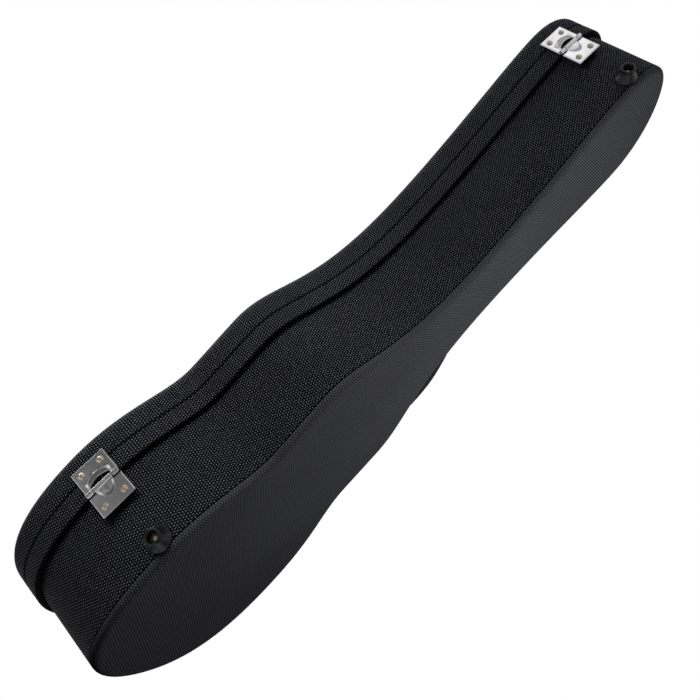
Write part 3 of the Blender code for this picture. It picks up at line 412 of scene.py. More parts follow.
def camel(node):
    # a piece's name, from the node that it stands for
    first, *rest = node.split("_")
    return first + "".join(word.capitalize() for word in rest)


def addGrids(node, grids, place, finish, body, replaced=True):
    # one piece of several (points, faces), moved to its place, instead of its node where there is one
    starts = np.cumsum([0] + [len(points) for points, _ in grids])
    points = np.vstack([points for points, _ in grids])
    faces = np.vstack([faces + start for (_, faces), start in zip(grids, starts)])
    mesh = closeSeams(storeMesh(camel(node), moved(points, place), faces))
    addPiece(camel(node), mesh, finish, body, [node] if replaced else ())


# A surface round the case: at each point of the outline, the profile's rows stand off the wall by an offset,
# at a height. Rows with a pull close a top or bottom: 0 is on the outline and 1 on the line down the middle.
# Lift adds to the height and push to the offset. The cloth's map runs along and up the wall, or by x and y.
def shellAround(name, profile, closed=False, lift=None, push=None):
    offset, height, pull = np.array(profile, float).T
    climb = np.hypot(np.diff(offset, append=offset[0]), np.diff(height, append=height[0])).cumsum()
    climb = np.concatenate([[0], climb])
    strips = len(profile) if closed else len(profile) - 1
    flat = (pull + np.roll(pull, -1) > 0)[:strips, None]
    full = np.ones((len(wallPoints), 1))
    offset, height, pull = offset * full, height * full, pull * full
    if push:
        offset = offset + push(wallArcs[:-1, None], height, offset)
    plan = wallPoints[:, None] + wallOuts[:, None] * offset[..., None]
    spine = planSet["stations"][-1][0], planSet["stations"][0][0]
    middle = np.stack([np.clip(plan[..., 0], *spine), 0 * offset], -1)
    plan = plan + (middle - plan) * pull[..., None]
    if lift:
        height = height + lift(plan[..., 0], plan[..., 1], pull, height)
    points = np.concatenate([plan, height[..., None]], -1).reshape(-1, 3)
    side = np.stack(np.broadcast_arrays(wallArcs[:, None], climb[None, :]), -1)
    level = np.pad(plan, ((0, 1), (0, 1), (0, 0)), mode="wrap")
    i, j = np.arange(len(wallPoints))[:, None], np.arange(strips)
    uvs = [np.where(flat, level[i + a, j + b], side[i + a, j + b])
           for a, b in ((0, 0), (1, 0), (1, 1), (0, 1))]
    faces = gridFaces(len(wallPoints), len(profile), True, closed)
    return closeSeams(storeMesh(name, points, faces, np.stack(uvs, 2)))


def addShell(name, profile, finish, body, node, slot, **extra):
    return addPiece(name, shellAround(name, profile, **extra), finish, body, [node])


def roundEdge(offset, height, radius, start, end, steps):
    # rows on an arc about a centre, by angles in degrees
    angles = np.radians(np.linspace(start, end, steps + 1))
    return [(offset + radius * math.cos(a), height + radius * math.sin(a), 0.0) for a in angles]


def capRows(offset, height, steps):
    # level rows from an edge in to the middle line
    return [(offset, height, pull) for pull in np.linspace(0, 1, steps + 1)[1:]]


weaveSet = {
    "along": 415, "up": 480.0,  # waves round the whole wall, and waves a metre up it
    "stray": (24.0, 0.0002),  # how often and how far the threads wander
    "threads": 430.0, "patches": 9.0,
    # painted light: the yarn is painted far lighter than black nylon for the glints on the raised threads,
    # and the gap near black for the shade between them
    "gap": grey(0.0016, (1.0, 1.0, 1.20)), "yarn": grey(0.2000, (0.94, 0.98, 1.13)),
    "under": grey(0.0120, (0.96, 0.98, 1.15)), "fibres": (420.0, 3200.0, 1.0),
    "fibreShade": (0.62, 1.25), "threadShade": (0.90, 1.08), "broadShade": (0.85, 1.12), "fibreRise": 0.12,
    "dot": (0.28, 1.00), "cross": (0.05, 0.95), "gloss": 0.03, "rough": (0.75, 0.50),
    "seams": ((0.0058, 0.0008), (0.0660, 0.0009), (0.0801, 0.0012)),  # heights of the painted shade along the seams, and its reach
}
# painted sheen: the back is the same nylon as the wall, painted much lighter to stand in for its sheen and
# lighter look at a grazing view
backSet = {**weaveSet, "gap": grey(0.0290, (1.0, 1.0, 1.06)), "yarn": grey(0.1250, (0.96, 0.98, 1.08)),
           "under": grey(0.0360, (0.96, 0.98, 1.08)), "fibres": (3200.0, 420.0, 1.0),
           "dot": (-0.30, 0.95), "gloss": 0.0, "seams": ()}
fineSet = {**weaveSet, "along": 1600, "up": 1500.0, "gap": grey(0.004), "yarn": grey(0.060),
           "seams": ()}


def wovenNylon(name, look, turnedRound=False):
    # raised threads stand where the product of two waves peaks, so that they come in staggered rows; the
    # threads that cross under them show dimly where it is lowest, and fine fibres run along both. The raised
    # threads are painted far lighter than black yarn, a painted highlight for the glints on them, and the
    # ground between is painted near black, a painted shade in the gaps
    material, ink = newFinish(name, Specular_IOR_Level=look["gloss"])
    cloth = ink.make("UVMap", {"uv_map": "weave"})
    x, y, _ = cloth.parts()
    along, up = (y, x) if turnedRound else (x, y)
    often, far = look["stray"]
    wander = (cloth.noise(often, 2.0) - 0.5) * far
    waves = (along + wander).wave(wallLength / look["along"]) * (up + wander).wave(1 / look["up"])
    # painted shade in the creases: at the wall's foot, under the hem and in the sewn line free falls to 0
    height, free = ink.place().parts()[2], 1.0
    for seam, wide in look["seams"]:
        free = (height - seam).maths("ABSOLUTE", height - seam).soft(0.2 * wide, wide) * free
    thread = waves.soft(*look["dot"]) * free
    crossing = (waves * -1).soft(*look["cross"]) * free
    fibres = cloth.stretched(*look["fibres"]).uneven(1.0, 2.0, *look["fibreShade"], 0.6)
    each = cloth.uneven(look["threads"], 1.0, *look["threadShade"])
    broad = cloth.uneven(look["patches"], 3.0, *look["broadShade"])
    ground = (crossing * broad).blend(look["gap"], look["under"])
    rise = waves.maths("ABSOLUTE", waves) * free + fibres * look["fibreRise"]
    return painted(material, thread * each * broad * fibres, (ground, look["yarn"]),
                   thread.soft(0.0, 1.0, *look["rough"]), rise, 0.6)


plushSet = {"colour": grey(0.045, (1.0, 1.0, 1.08)), "shades": (0.5, 1.45), "nap": 1500.0, "brush": 28.0,
            "rough": 0.95, "gloss": 0.05, "sheen": 0.18, "pile": 0.0007}


def plushFinish(name, look):
    # short pile: fine nap over broad brushed patches, with a soft sheen at its edges
    material, ink = newFinish(name, Roughness=look["rough"], Specular_IOR_Level=look["gloss"],
                              Sheen_Weight=look["sheen"], Sheen_Roughness=0.5)
    place = ink.place()
    nap = place.noise(look["nap"], 3.0, 0.7)
    brushed = place.noise(look["brush"], 3.0, 0.6).soft(0.35, 0.65)
    shades = [times(look["colour"], gain) for gain in look["shades"]]
    return painted(material, nap.soft(0.3, 0.7) * 0.6 + brushed * 0.4, shades, None,
                   nap + brushed * 0.5, 0.5, look["pile"])


metalSet = {
    "scratches": (260.0, 260.0, 2600.0), "scratchDepth": 0.008, "pits": 1900.0, "pitDepth": 0.03,
    "smears": 70.0, "smearRough": (0.7, 1.5), "pitRough": 0.06, "tarnish": 0.78, "waves": 130.0,
}


def metalFinish(name, colour, rough, waviness=0.0, look=metalSet):
    # plated metal: faint lengthwise scratches, smears that dull it, small pits and a slight waviness
    material, ink = newFinish(name, Metallic=1.0)
    place = ink.place()
    lines = place.stretched(*look["scratches"]).noise(1.0, 2.0, 0.65)
    smear = place.noise(look["smears"], 3.0)
    pits = place.noise(look["pits"], 1.0).soft(0.72, 0.84)
    dull = smear.soft(0.3, 0.8, *(rough * share for share in look["smearRough"]))
    rise = lines * look["scratchDepth"] - pits * look["pitDepth"] + place.noise(look["waves"], 1.0) * waviness
    colours = colour, times(colour, look["tarnish"])
    return painted(material, smear.soft(0.35, 0.75) * 0.5 + pits * 0.5, colours,
                   dull + pits * look["pitRough"], rise, 0.5)


mouldSet = {"dust": 60.0, "dusty": 1.8, "roughShare": (0.85, 1.15)}


def mouldedFinish(name, colour, rough, grain, strength, gloss=0.25, look=mouldSet):
    # moulded rubber or plastic: fine pebbled grain, with a little dust on it
    material, ink = newFinish(name, Specular_IOR_Level=gloss)
    place = ink.place()
    pebble = place.noise(grain, 3.0, 0.6)
    dust = place.noise(look["dust"], 3.0, 0.7).soft(0.45, 0.8)
    dull = pebble.soft(0.3, 0.7, *(rough * share for share in look["roughShare"]))
    colours = colour, times(colour, look["dusty"])
    return painted(material, dust * 0.6 + pebble.soft(0.4, 0.7) * 0.4, colours, dull, pebble, strength)


plySet = {"colour": grey(0.055, (1.0, 0.88, 0.76)), "gloss": 0.15, "layer": 0.0012,
          "grain": (60.0, 60.0, 900.0), "rough": (0.6, 0.85)}


def plyFinish(name, look):
    # stained plywood: thin layers one above another, with streaks of grain along them
    material, ink = newFinish(name, Specular_IOR_Level=look["gloss"])
    place = ink.place()
    layers = place.parts()[2].wave(look["layer"]).soft(-0.6, 0.6)
    streaks = place.stretched(*look["grain"]).noise(1.0, 3.0, 0.6).soft(0.3, 0.7)
    return painted(material, layers * 0.4 + streaks * 0.6, (times(look["colour"], 0.5), look["colour"]),
                   streaks.soft(0.0, 1.0, *look["rough"]), streaks + layers * 0.5, 0.4)


threadSet = {"colour": grey(0.0080), "shades": (0.6, 1.8), "gloss": 0.2, "strand": 0.0006, "slant": 1.6,
             "rough": (0.60, 0.45)}


def threadFinish(name, look):
    # twisted thread: strands slant round it
    material, ink = newFinish(name, Specular_IOR_Level=look["gloss"])
    x, y, z = ink.place().parts()
    strand = (x + y + z * look["slant"]).wave(look["strand"]).soft(-0.7, 0.7)
    return painted(material, strand, [times(look["colour"], gain) for gain in look["shades"]],
                   strand.soft(0.0, 1.0, *look["rough"]), strand, 0.4)


nylon = wovenNylon("wovenNylon", weaveSet)
backNylonPaintedSheen = wovenNylon("backNylonPaintedSheen", backSet, True)
strapCloth = wovenNylon("strapCloth", fineSet)
plush = plushFinish("plush", plushSet)
chrome = metalFinish("chrome", grey(0.74, (1.0, 1.0, 1.02)), 0.10, 0.5)
steel = metalFinish("steel", grey(0.60, (1.0, 1.0, 1.01)), 0.20)
rivetMetal = metalFinish("rivetMetal", grey(0.66, (1.0, 0.90, 0.72)), 0.42)
brass = metalFinish("brass", grey(0.80, (1.0, 0.87, 0.62)), 0.38)
rubber = mouldedFinish("rubber", grey(0.0028, (0.93, 0.98, 1.20)), 0.36, 700.0, 0.15, 0.42)
blackPlastic = mouldedFinish("blackPlastic", grey(0.0070), 0.50, 1300.0, 0.25)
gripPlastic = mouldedFinish("gripPlastic", grey(0.0090), 0.46, 520.0, 0.55)
stainedPly = plyFinish("stainedPly", plySet)
sewingThread = threadFinish("sewingThread", threadSet)
print("finishes mixed")


shellSet = {
    "backThick": 0.0055, "backRound": 0.0048, "backEdge": (0.0002, 0.0003), "seat": 0.0003,
    "ply": 0.0040, "rim": 0.0718, "rimRound": 0.0012,
    "lidTop": 0.1020, "lidRound": 0.0100, "ceiling": 0.0985, "crown": 0.0012,
    "sewn": 0.0800, "proud": 0.0044, "lip": 0.0660, "lipRound": 0.0012, "hang": 0.0008, "hangEdge": 0.0005,
    "flutter": 0.00022, "flutterWaves": (61.0, 113.0, 0.6, 1.3), "pinchEnd": 0.0022,
    # how far the cloth is drawn in at the sewn line, and how far from the line
    "pinch": ((0.0, 0.0014), (0.0003, 0.0007), (0.00077, 0.0002), (0.0014, 0.0)),
}


def fabricShells(look):
    # the body's wall: a thin upright hoop with a rounded rim
    seat, thick, ply, rim, turn = picked(look, "seat backThick ply rim rimRound")
    wall = [(0.0, z, 0.0) for z in np.linspace(thick + seat, rim - turn, 12)]
    wall += roundEdge(-turn, rim - turn, turn, 0, 90, 4)[1:]
    wall += roundEdge(turn - ply, rim - turn, turn, 90, 180, 4) + [(-ply, thick + seat, 0.0)]
    addShell("wallCloth", wall, nylon, "body", "body_hoop", "covered_ply", closed=True)

    # the back: flat below, round at its outer edge and flat on top
    radius, (down, back) = look["backRound"], look["backEdge"]
    under = capRows(-radius, 0.0, 16)[::-1] + roundEdge(-radius, radius, radius, -90, 0, 10)
    top = [(0.0, thick - down, 0.0), (-back, thick, 0.0)] + capRows(0.0, thick, 2)
    addShell("backCloth", under + top, backNylonPaintedSheen, "body", "back_panel", "back_cover")

    # the valance: from its rolled hem up the outside to the sewn line, and down again at the back
    sewn, proud, lip, curl = picked(look, "sewn proud lip lipRound")
    hang, edge = look["hang"], look["hangEdge"]
    valance = roundEdge(proud - curl, lip + curl, curl, -90, 0, 6)
    valance += [(proud, z, 0.0) for z in np.linspace(lip + 2 * curl, sewn - look["pinchEnd"], 7)]
    valance += [(proud - back, sewn - down, 0.0) for back, down in look["pinch"]]
    valance += [(hang, sewn, 0.0), (hang, lip + edge, 0.0), (hang + edge, lip, 0.0)]

    def flutter(arc, z, offset):
        # the hem stands a little more or less off the wall, by the sum of two waves along its length
        often, oftener, part, phase = look["flutterWaves"]
        share = np.clip((sewn - z) / (sewn - lip), 0, 1)
        return share * look["flutter"] * (np.sin(arc * often) + part * np.sin(arc * oftener + phase))

    addShell("valanceCloth", valance, nylon, "lid", "valance", "woven_nylon", closed=True, push=flutter)

    # the lid: up from the sewn line, over its round edge to the middle, and back along the ceiling inside
    low, top, edge, ceiling = sewn + seat, look["lidTop"], look["lidRound"], look["ceiling"]
    cover = [(proud - back, low + up, 0.0) for back, up in look["pinch"][::-1]]
    cover += [(proud, z, 0.0) for z in np.linspace(low + look["pinchEnd"], top - edge, 7)]
    cover += roundEdge(proud - edge, top - edge, edge, 0, 90, 14)[1:] + capRows(proud - edge, top, 18)
    cover += [(seat, ceiling, pull) for pull in (1.0, 0.66, 0.33, 0.0)] + [(seat, low, 0.0)]

    def crown(x, y, pull, z):
        # the padding lifts the top, by a parabola from its edge to the middle line
        return np.where(z > (ceiling + top) / 2, look["crown"] * (1 - (1 - pull) ** 2), 0.0)

    addShell("lidCloth", cover, nylon, "lid", "lid_cover", "woven_nylon", closed=True, lift=crown)


fabricShells(shellSet)
print("fabric shells made")

stitchSet = {
    "pitch": 0.0036, "length": 0.0029, "radius": 0.00032, "height": 0.08015, "offset": 0.0034, "sides": 6,
    "slope": 0.12, "slopeWaves": 700.0,
    # places along half a stitch, with its width there and how far it dips into the cloth
    "half": ((0.30, 1.0, 0.0), (0.47, 0.7, -0.5), (0.50, 0.15, -0.9)),
}


def stitchLine(look):
    # slim capsules that dip into the cloth at both ends, round the whole sewn line
    count, sides, radius = int(wallLength / look["pitch"]), look["sides"], look["radius"]
    arcs = np.arange(count) * wallLength / count
    spots, outs = planAt(arcs)
    around = np.arange(sides) * (2 * math.pi / sides)
    place, swell, dip = np.array([(-x, *rest) for x, *rest in look["half"][::-1]] + list(look["half"])).T
    x = np.broadcast_to((place * look["length"])[:, None], (len(place), sides)).reshape(-1)
    y = (radius * (swell[:, None] * np.cos(around) + dip[:, None])).reshape(-1)
    z = (radius * swell[:, None] * np.sin(around)).reshape(-1)
    slope = look["slope"] * np.sin(arcs * look["slopeWaves"])
    plan = spots[:, None] + outs[:, None] * (look["offset"] + y)[None, :, None]
    plan = plan + np.stack([outs[:, 1], -outs[:, 0]], -1)[:, None] * x[None, :, None]
    height = look["height"] + slope[:, None] * x + z
    points = np.concatenate([plan, height[..., None]], -1).reshape(-1, 3)
    faces = gridFaces(len(place), sides, False, True) + (np.arange(count) * len(x))[:, None, None]
    mesh = storeMesh("lidStitches", points, faces.reshape(-1, 4))
    addPiece("lidStitches", mesh, sewingThread, "lid", sharp=0)


stitchLine(stitchSet)
print("stitches sewn")


liningSet = {
    "outer": -0.0043, "inner": -0.0120, "floorLow": 0.0058, "floorTop": 0.0103, "sideTop": 0.0688,
    "round": 0.0034, "lidLow": 0.0889, "lidHigh": 0.0949, "gap": 0.0003, "toe": 0.001,
    "squash": 0.0009, "toeSquash": 1.5, "dimple": 0.0004, "dimpled": 0.004, "dimples": 95.0,
    "quilt": (62.0, 74.0),
}


def linings(look):
    # the side pad's face stands out in the middle of its height, by the fourth power of the way from there
    outer, inner, top, turn, toe, squash = picked(look, "outer inner sideTop round toe squash")
    low = look["floorTop"] + look["gap"]
    side = [(outer, low, 0.0), (outer, top, 0.0)]
    side += roundEdge(inner + turn, top - turn, turn, 90, 180, 6)[:-1]
    side += [(inner + squash * (2 * s - 1) ** 4, low + toe + s * (top - turn - low - toe), 0.0)
             for s in np.linspace(1, 0, 12)]
    side += [(inner + squash * look["toeSquash"], low, 0.0)]

    def dimples(arc, z, offset):
        # shallow waves where the pad is held down at intervals
        depth = look["dimple"] * (1 + np.cos(arc * look["dimples"]))
        return np.where(offset < outer - look["dimpled"], depth, 0.0)

    pad = addShell("sidePad", side, plush, "body", "side_lining", "plush", closed=True, push=dimples)

    for name, node, body, low, high, face, fill in (
            ("floorPad", "floor_lining", "body", look["floorLow"], look["floorTop"], 1, 0.5),
            ("lidPad", "lid_lining", "lid", look["lidLow"], look["lidHigh"], -1, 0.7)):
        half = (high - low) / 2
        rows = capRows(outer - half, low, 18)[::-1] + roundEdge(outer - half, low + half, half, -90, 90, 8)
        shown = high if face > 0 else low

        def quilted(x, y, pull, z):
            # broad shallow hollows in the face that shows, kept inside the pad's own thickness
            across, along = look["quilt"]
            wave = (2 + np.sin(x * across) * np.cos(y * along) + (1 - pull)) * look["dimple"] * 0.5
            return np.where(np.abs(z - shown) < 0.0001, -face * wave, 0.0)

        rows += capRows(outer - half, high, 18)
        addShell(name, rows, plush, body, node, "plush", lift=quilted)


linings(liningSet)
print("linings padded")


def roundedCopy(node, finish, body, radius, segments=3, sharp=40, weld=0.000002, flat=2.0):
    # a copy with its flat areas made whole again, so that only edges sharper than an angle are rounded
    mesh = frame["nodes"][node].data.copy()
    shape = bmesh.new()
    shape.from_mesh(mesh)
    bmesh.ops.remove_doubles(shape, verts=shape.verts, dist=weld)
    bmesh.ops.dissolve_limit(shape, angle_limit=math.radians(flat), verts=shape.verts, edges=shape.edges)
    bmesh.ops.recalc_face_normals(shape, faces=shape.faces)
    shape.to_mesh(mesh)
    shape.free()
    mesh.name = camel(node)
    if mesh.has_custom_normals:
        mesh.attributes.remove(mesh.attributes["custom_normal"])
    ob = addPiece(camel(node), mesh, finish, body, [node], 0)
    bevel = ob.modifiers.new("edges", "BEVEL")
    bevel.width, bevel.segments = radius, segments
    bevel.limit_method, bevel.angle_limit = "ANGLE", math.radians(sharp)
    bevel.harden_normals = True
    return ob


compartmentSet = {"padRound": 0.0022, "boardRound": 0.0009, "clothRound": 0.0003}


def compartment(look):
    for node in ("neck_cradle", "compartment_end_wall"):
        roundedCopy(node, plush, "body", look["padRound"], 4)
    door = "compartment_door"
    roundedCopy("compartment_lid", plush, door, look["boardRound"])
    for node in ("compartment_cloth_hinge", "compartment_pull_tab"):
        roundedCopy(node, strapCloth, door, look["clothRound"], 2)
    for node in ("lid_hoop", "lid_board", "compartment_ledge_cradle", "compartment_ledge_end_wall"):
        materials = frame["nodes"][node].data.materials
        materials.clear()
        materials.append(stainedPly)


compartment(compartmentSet)
print("compartment dressed")


def standing(spot, along):
    # X along the wall, Y out of it and Z up
    x, y = along[:2]
    return Matrix(((x, -y, 0, spot[0]), (y, x, 0, spot[1]), (0, 0, 1, spot[2]), (0, 0, 0, 1)))


def outwards(along=0.0, out=0.0, up=0.0):
    # for a piece turned about Z that points out of the wall, and one that lies along it
    return Matrix.Translation((along, out, up)) @ Matrix.Rotation(math.radians(-90), 4, "X")


def lengthwise(along=0.0, out=0.0):
    return Matrix.Translation((along, out, 0.0)) @ Matrix.Rotation(math.radians(90), 4, "Y")


def turned(profile, place=Matrix.Identity(4), steps=48, closed=False, ripple=None):
    # a profile of (radius, height) round Z; ripple shares the radius by angle
    radius, height = np.array(profile, float).T
    angle = np.arange(steps)[:, None] * (2 * math.pi / steps)
    radius = radius * (ripple(angle) if ripple else np.ones((steps, 1)))
    points = np.stack([radius * np.cos(angle), radius * np.sin(angle), height + 0 * radius], -1)
    return moved(points.reshape(-1, 3), place), gridFaces(steps, len(profile), True, closed)


def rivetHead(radius, rise, sink=0.0002, dome=0.985, rim=0.00012, foot=0.97):
    # a cap of a ball with a small upright rim
    ball = (radius ** 2 + rise ** 2) / (2 * rise)
    rounds = np.linspace(0, 1, 9) * radius * dome
    profile = [(r, math.sqrt(ball ** 2 - r ** 2) - ball + rise) for r in rounds]
    return profile + [(radius, rim), (radius * foot, -sink), (0.0, -sink)]


def rod(half, radius, chamfer=0.0002):
    # a round bar with chamfered ends
    return [(0, -half), (radius - chamfer, -half), (radius, -half + chamfer),
            (radius, half - chamfer), (radius - chamfer, half), (0, half)]


def swept(corners, rounds, radius, normal, steps=20):
    # a round wire through corners that lie in one plane, each rounded by its own arc, with flat ends
    corners = [Vector(corner) for corner in corners]
    path = [corners[0]]
    for before, corner, after, turn in zip(corners, corners[1:], corners[2:], rounds):
        into, away = (before - corner).normalized(), (after - corner).normalized()
        half = into.angle(away) / 2
        centre = corner + (into + away).normalized() * (turn / math.sin(half))
        first, last = (corner + way * (turn / math.tan(half)) - centre for way in (into, away))
        sweep = first.angle(last)
        path += [centre + (first * math.sin((1 - t) * sweep) + last * math.sin(t * sweep)) / math.sin(sweep)
                 for t in np.linspace(0, 1, 11)]
    path = np.array(path + [corners[-1]])
    ways = np.diff(path, axis=0, prepend=path[:1] * 2 - path[1:2], append=path[-1:] * 2 - path[-2:-1])
    ways /= np.linalg.norm(ways, axis=1)[:, None]
    across = np.cross(ways[1:] + ways[:-1], normal)
    across /= np.linalg.norm(across, axis=1)[:, None]
    angle = np.arange(steps) * (2 * math.pi / steps)
    ring = np.cos(angle)[:, None, None] * across + np.sin(angle)[:, None, None] * np.array(normal, float)
    points = path + radius * ring
    points = np.concatenate([np.broadcast_to(path[:1], (steps, 1, 3)), points,
                             np.broadcast_to(path[-1:], (steps, 1, 3))], 1)
    return points.reshape(-1, 3), gridFaces(steps, points.shape[1], True)


def graded(low, high, fine, count):
    # rows from low to high, closer together at both ends
    low, high = np.broadcast_arrays(low, high)
    near = np.array((0.0, 0.12, 0.32, 0.62))[:, None] * fine
    middle = low + fine + (high - low - 2 * fine) * np.linspace(0, 1, count)[:, None]
    return np.concatenate([low + near, middle, high - near[::-1]])


def plate(x, z, front, back, borders):
    # a sheet with a shaped front and a flat back, closed along the borders named
    rows, columns = z.shape
    x = np.broadcast_to(x, z.shape)
    points = np.concatenate([np.stack([x, front(x, z), z], -1).reshape(-1, 3),
                             np.stack([x, 0 * z + back, z], -1).reshape(-1, 3)])
    number = np.arange(z.size).reshape(z.shape)
    lines = {"low": number[0], "high": number[-1], "left": number[:, 0], "right": number[:, -1]}
    faces = gridFaces(rows, columns)
    sides = [np.stack([line[:-1], line[1:], line[1:] + z.size, line[:-1] + z.size], -1)
             for line in (lines[border] for border in borders)]
    return points, np.concatenate([faces, faces[:, ::-1] + z.size, *sides])


# The stop hinges, drawn about their pins.
hingeSet = {
    "half": 0.0130, "rise": 0.0204, "drop": 0.0193, "back": -0.0019, "face": -0.0007, "edge": 0.00055,
    "inner": 0.0078, "foot": 0.0037, "crown": 0.0022, "strap": 0.0074, "shoulder": 0.0023,
    "hood": 0.0016, "lip": 0.0008, "hoodReach": 0.0040, "hoodFall": 0.0011, "hoodHalf": 0.0094,
    "hoodPower": 0.6, "shield": 0.0008, "shieldHalf": 0.0064, "shieldReach": 0.0094, "shieldPower": 0.5,
    "knuckle": 0.0019, "bore": 0.0012, "chamfer": 0.00025, "gap": 0.0001, "pin": 0.0009,
    "ribs": (52.0, 90.0, 128.0), "ribWidth": 0.075, "ribDepth": 0.07, "spacerEdge": 0.0004,
    "rivet": (0.0025, 0.0014), "rivetApart": 0.0077, "lidRivet": 0.0148, "bodyRivet": -0.0138,
    "seat": -0.0004,
}


def smooth(t):
    # from 0 to 1, level at both ends
    t = np.clip(t, 0, 1)
    return t * t * (3 - 2 * t)


def rolledOver(edge, distance):
    # how much a sheet's face drops, this far in from its rounded edge
    inside = np.clip(edge - distance, 0, edge)
    return edge - np.sqrt(np.maximum(edge ** 2 - inside ** 2, 0))


def lidLeaf(look):
    half, rise, inner, foot, fine, crown, back = picked(look, "half rise inner foot edge crown back")
    lip, hood, reach, fall, wide = picked(look, "lip hood hoodReach hoodFall hoodHalf")
    ball = (inner ** 2 + crown ** 2) / (2 * crown)

    def arch(x):
        # the slot's upper edge, a part of a circle
        side = np.minimum(np.abs(x), inner)
        return foot + crown - ball + np.sqrt(np.maximum(ball ** 2 - side ** 2, 0))

    def front(x, z):
        # a hood rises from the slot's lip to a crest, falls off steeply and dies out at its two ends
        beyond = z - arch(x)
        swell = (lip + (hood - lip) * smooth(beyond / reach)) * (1 - smooth((beyond - reach) / fall))
        swell = swell * np.clip(1 - (x / wide) ** 2, 0, 1) ** look["hoodPower"]
        side = np.abs(x) - inner
        slot = np.where(side < 0, beyond, np.where(z < foot, side, np.hypot(side, z - foot)))
        edge = np.minimum(np.minimum(half - np.abs(x), rise - z), slot)
        return look["face"] + swell - rolledOver(fine, edge)

    ear, middle = graded(inner, half, fine, 8)[:, 0], graded(-inner, inner, fine, 30)[:, 0]
    grids = []
    for columns, outside in ((ear, "right"), (-ear[::-1], "left")):
        low = np.broadcast_to(np.linspace(0, foot, 7)[:, None], (7, len(columns)))
        grids.append(plate(columns, low, front, back, ("low", "left", "right")))
        high = graded(np.full(len(columns), foot), rise, fine, 26)
        grids.append(plate(columns, high, front, back, ("high", outside)))
    grids.append(plate(middle, graded(arch(middle), rise, fine, 26), front, back, ("low", "high")))
    return grids


def bodyLeaf(look):
    half, drop, strap, fine, back = picked(look, "half drop strap edge back")
    shoulder = -look["shoulder"]

    def front(x, z):
        # a shield-shaped dome that starts as wide as the knuckle and narrows downwards
        dome = np.clip(1 - (x / look["shieldHalf"]) ** 2 - (z / look["shieldReach"]) ** 2, 0, 1)
        side, under = strap - np.abs(x), shoulder - z
        slot = np.where(under < 0, side, np.where(side < 0, under, np.hypot(side, under)))
        edge = np.minimum(np.minimum(half - np.abs(x), z + drop), slot)
        return look["face"] + look["shield"] * dome ** look["shieldPower"] - rolledOver(fine, edge)

    ear, middle = graded(strap, half, fine, 8)[:, 0], graded(-strap, strap, fine, 30)[:, 0]
    grids = []
    for columns, borders in ((ear, ("low", "high", "right")), (-ear[::-1], ("low", "high", "left")),
                             (middle, ("low",))):
        rows = graded(np.full(len(columns), -drop), shoulder, fine, 24)
        grids.append(plate(columns, rows, front, back, borders))
    neck = np.broadcast_to(np.linspace(shoulder, 0, 7)[:, None], (7, len(middle)))
    return grids + [plate(middle, neck, front, back, ("high", "left", "right"))]


def rolledKnuckle(look, start, end):
    # a rolled tube, with pressed lines along its outer side
    half, outer, bore, chamfer = (end - start) / 2 - look["gap"], *picked(look, "knuckle bore chamfer")
    profile = [(bore, -half), (outer - chamfer, -half), (outer, chamfer - half),
               (outer, half - chamfer), (outer - chamfer, half), (bore, half)]

    def lines(angle):
        cuts = sum(np.exp(-((angle - math.radians(rib)) / look["ribWidth"]) ** 2) for rib in look["ribs"])
        return 1 - look["ribDepth"] * cuts

    return turned(profile, lengthwise((start + end) / 2), 96, True, lines)


def hinges(look):
    axis = Vector(joints["lid_hinge"]["axis"])
    low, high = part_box("hinge_pin_head")
    pins = {"tail": Vector(joints["lid_hinge"]["pos_m"]), "head": (Vector(low) + Vector(high)) / 2}
    half, inner, strap = picked(look, "half inner strap")
    lidGrids = lidLeaf(look) + [rolledKnuckle(look, -half, -inner), rolledKnuckle(look, inner, half)]
    bodyGrids = bodyLeaf(look) + [rolledKnuckle(look, -strap, strap)]
    pin = [turned(rod(half, look["pin"]), lengthwise())]
    head = rivetHead(*look["rivet"])
    for name, spot in pins.items():
        place = standing(spot, -axis)
        addGrids("hinge_lid_leaf_" + name, lidGrids, place, chrome, "lid")
        addGrids("hinge_body_leaf_" + name, bodyGrids, place, chrome, "body")
        addGrids("hinge_pin_" + name, pin, place, steel, "body")
        for body in ("lid", "body"):
            for number, side in enumerate((-1, 1), 1):
                rivet = turned(head, outwards(side * look["rivetApart"], look["seat"], look[body + "Rivet"]))
                addGrids(f"hinge_{body}_rivet_{name}_{number}", [rivet], place, rivetMetal, body)
        roundedCopy("hinge_spacer_" + name, blackPlastic, "body", look["spacerEdge"])


hinges(hingeSet)
print("hinges pressed")


footSet = {
    "places": (("tail", 0.2090, 0.0), ("head", -0.2740, 78.0)),  # x, and the turn of the screw's slot
    "height": 0.0124, "seat": 0.0003, "length": 0.0100, "neck": 0.0051, "rim": 0.0057, "rimRound": 0.0009,
    "base": 0.0086, "baseEdge": 0.0009, "baseRound": 0.0003, "baseRise": 0.0005, "hollow": 0.0004,
    "bore": 0.0038, "boreDepth": 0.0056, "screw": (0.0028, 0.0016), "slot": (0.0007, 0.0004),
}


def arcRows(x, y, radius, start, end, steps):
    # points on an arc, for turning
    return [(offset, height) for offset, height, _ in roundEdge(x, y, radius, start, end, steps)]


def slottedHead(radius, rise, width, depth, turn, least=0.00004):
    # a round head with a straight slot across it, which deepens evenly from its edges to its middle
    points, faces = turned(rivetHead(radius, rise, 0.0), steps=120)
    across = np.abs(points[:, 1] * math.cos(turn) - points[:, 0] * math.sin(turn))
    sunk = np.maximum(points[:, 2] - depth * np.clip(1 - across * 2 / width, 0, 1), least)
    points[:, 2] = np.where(points[:, 2] > least, sunk, points[:, 2])
    return points, faces


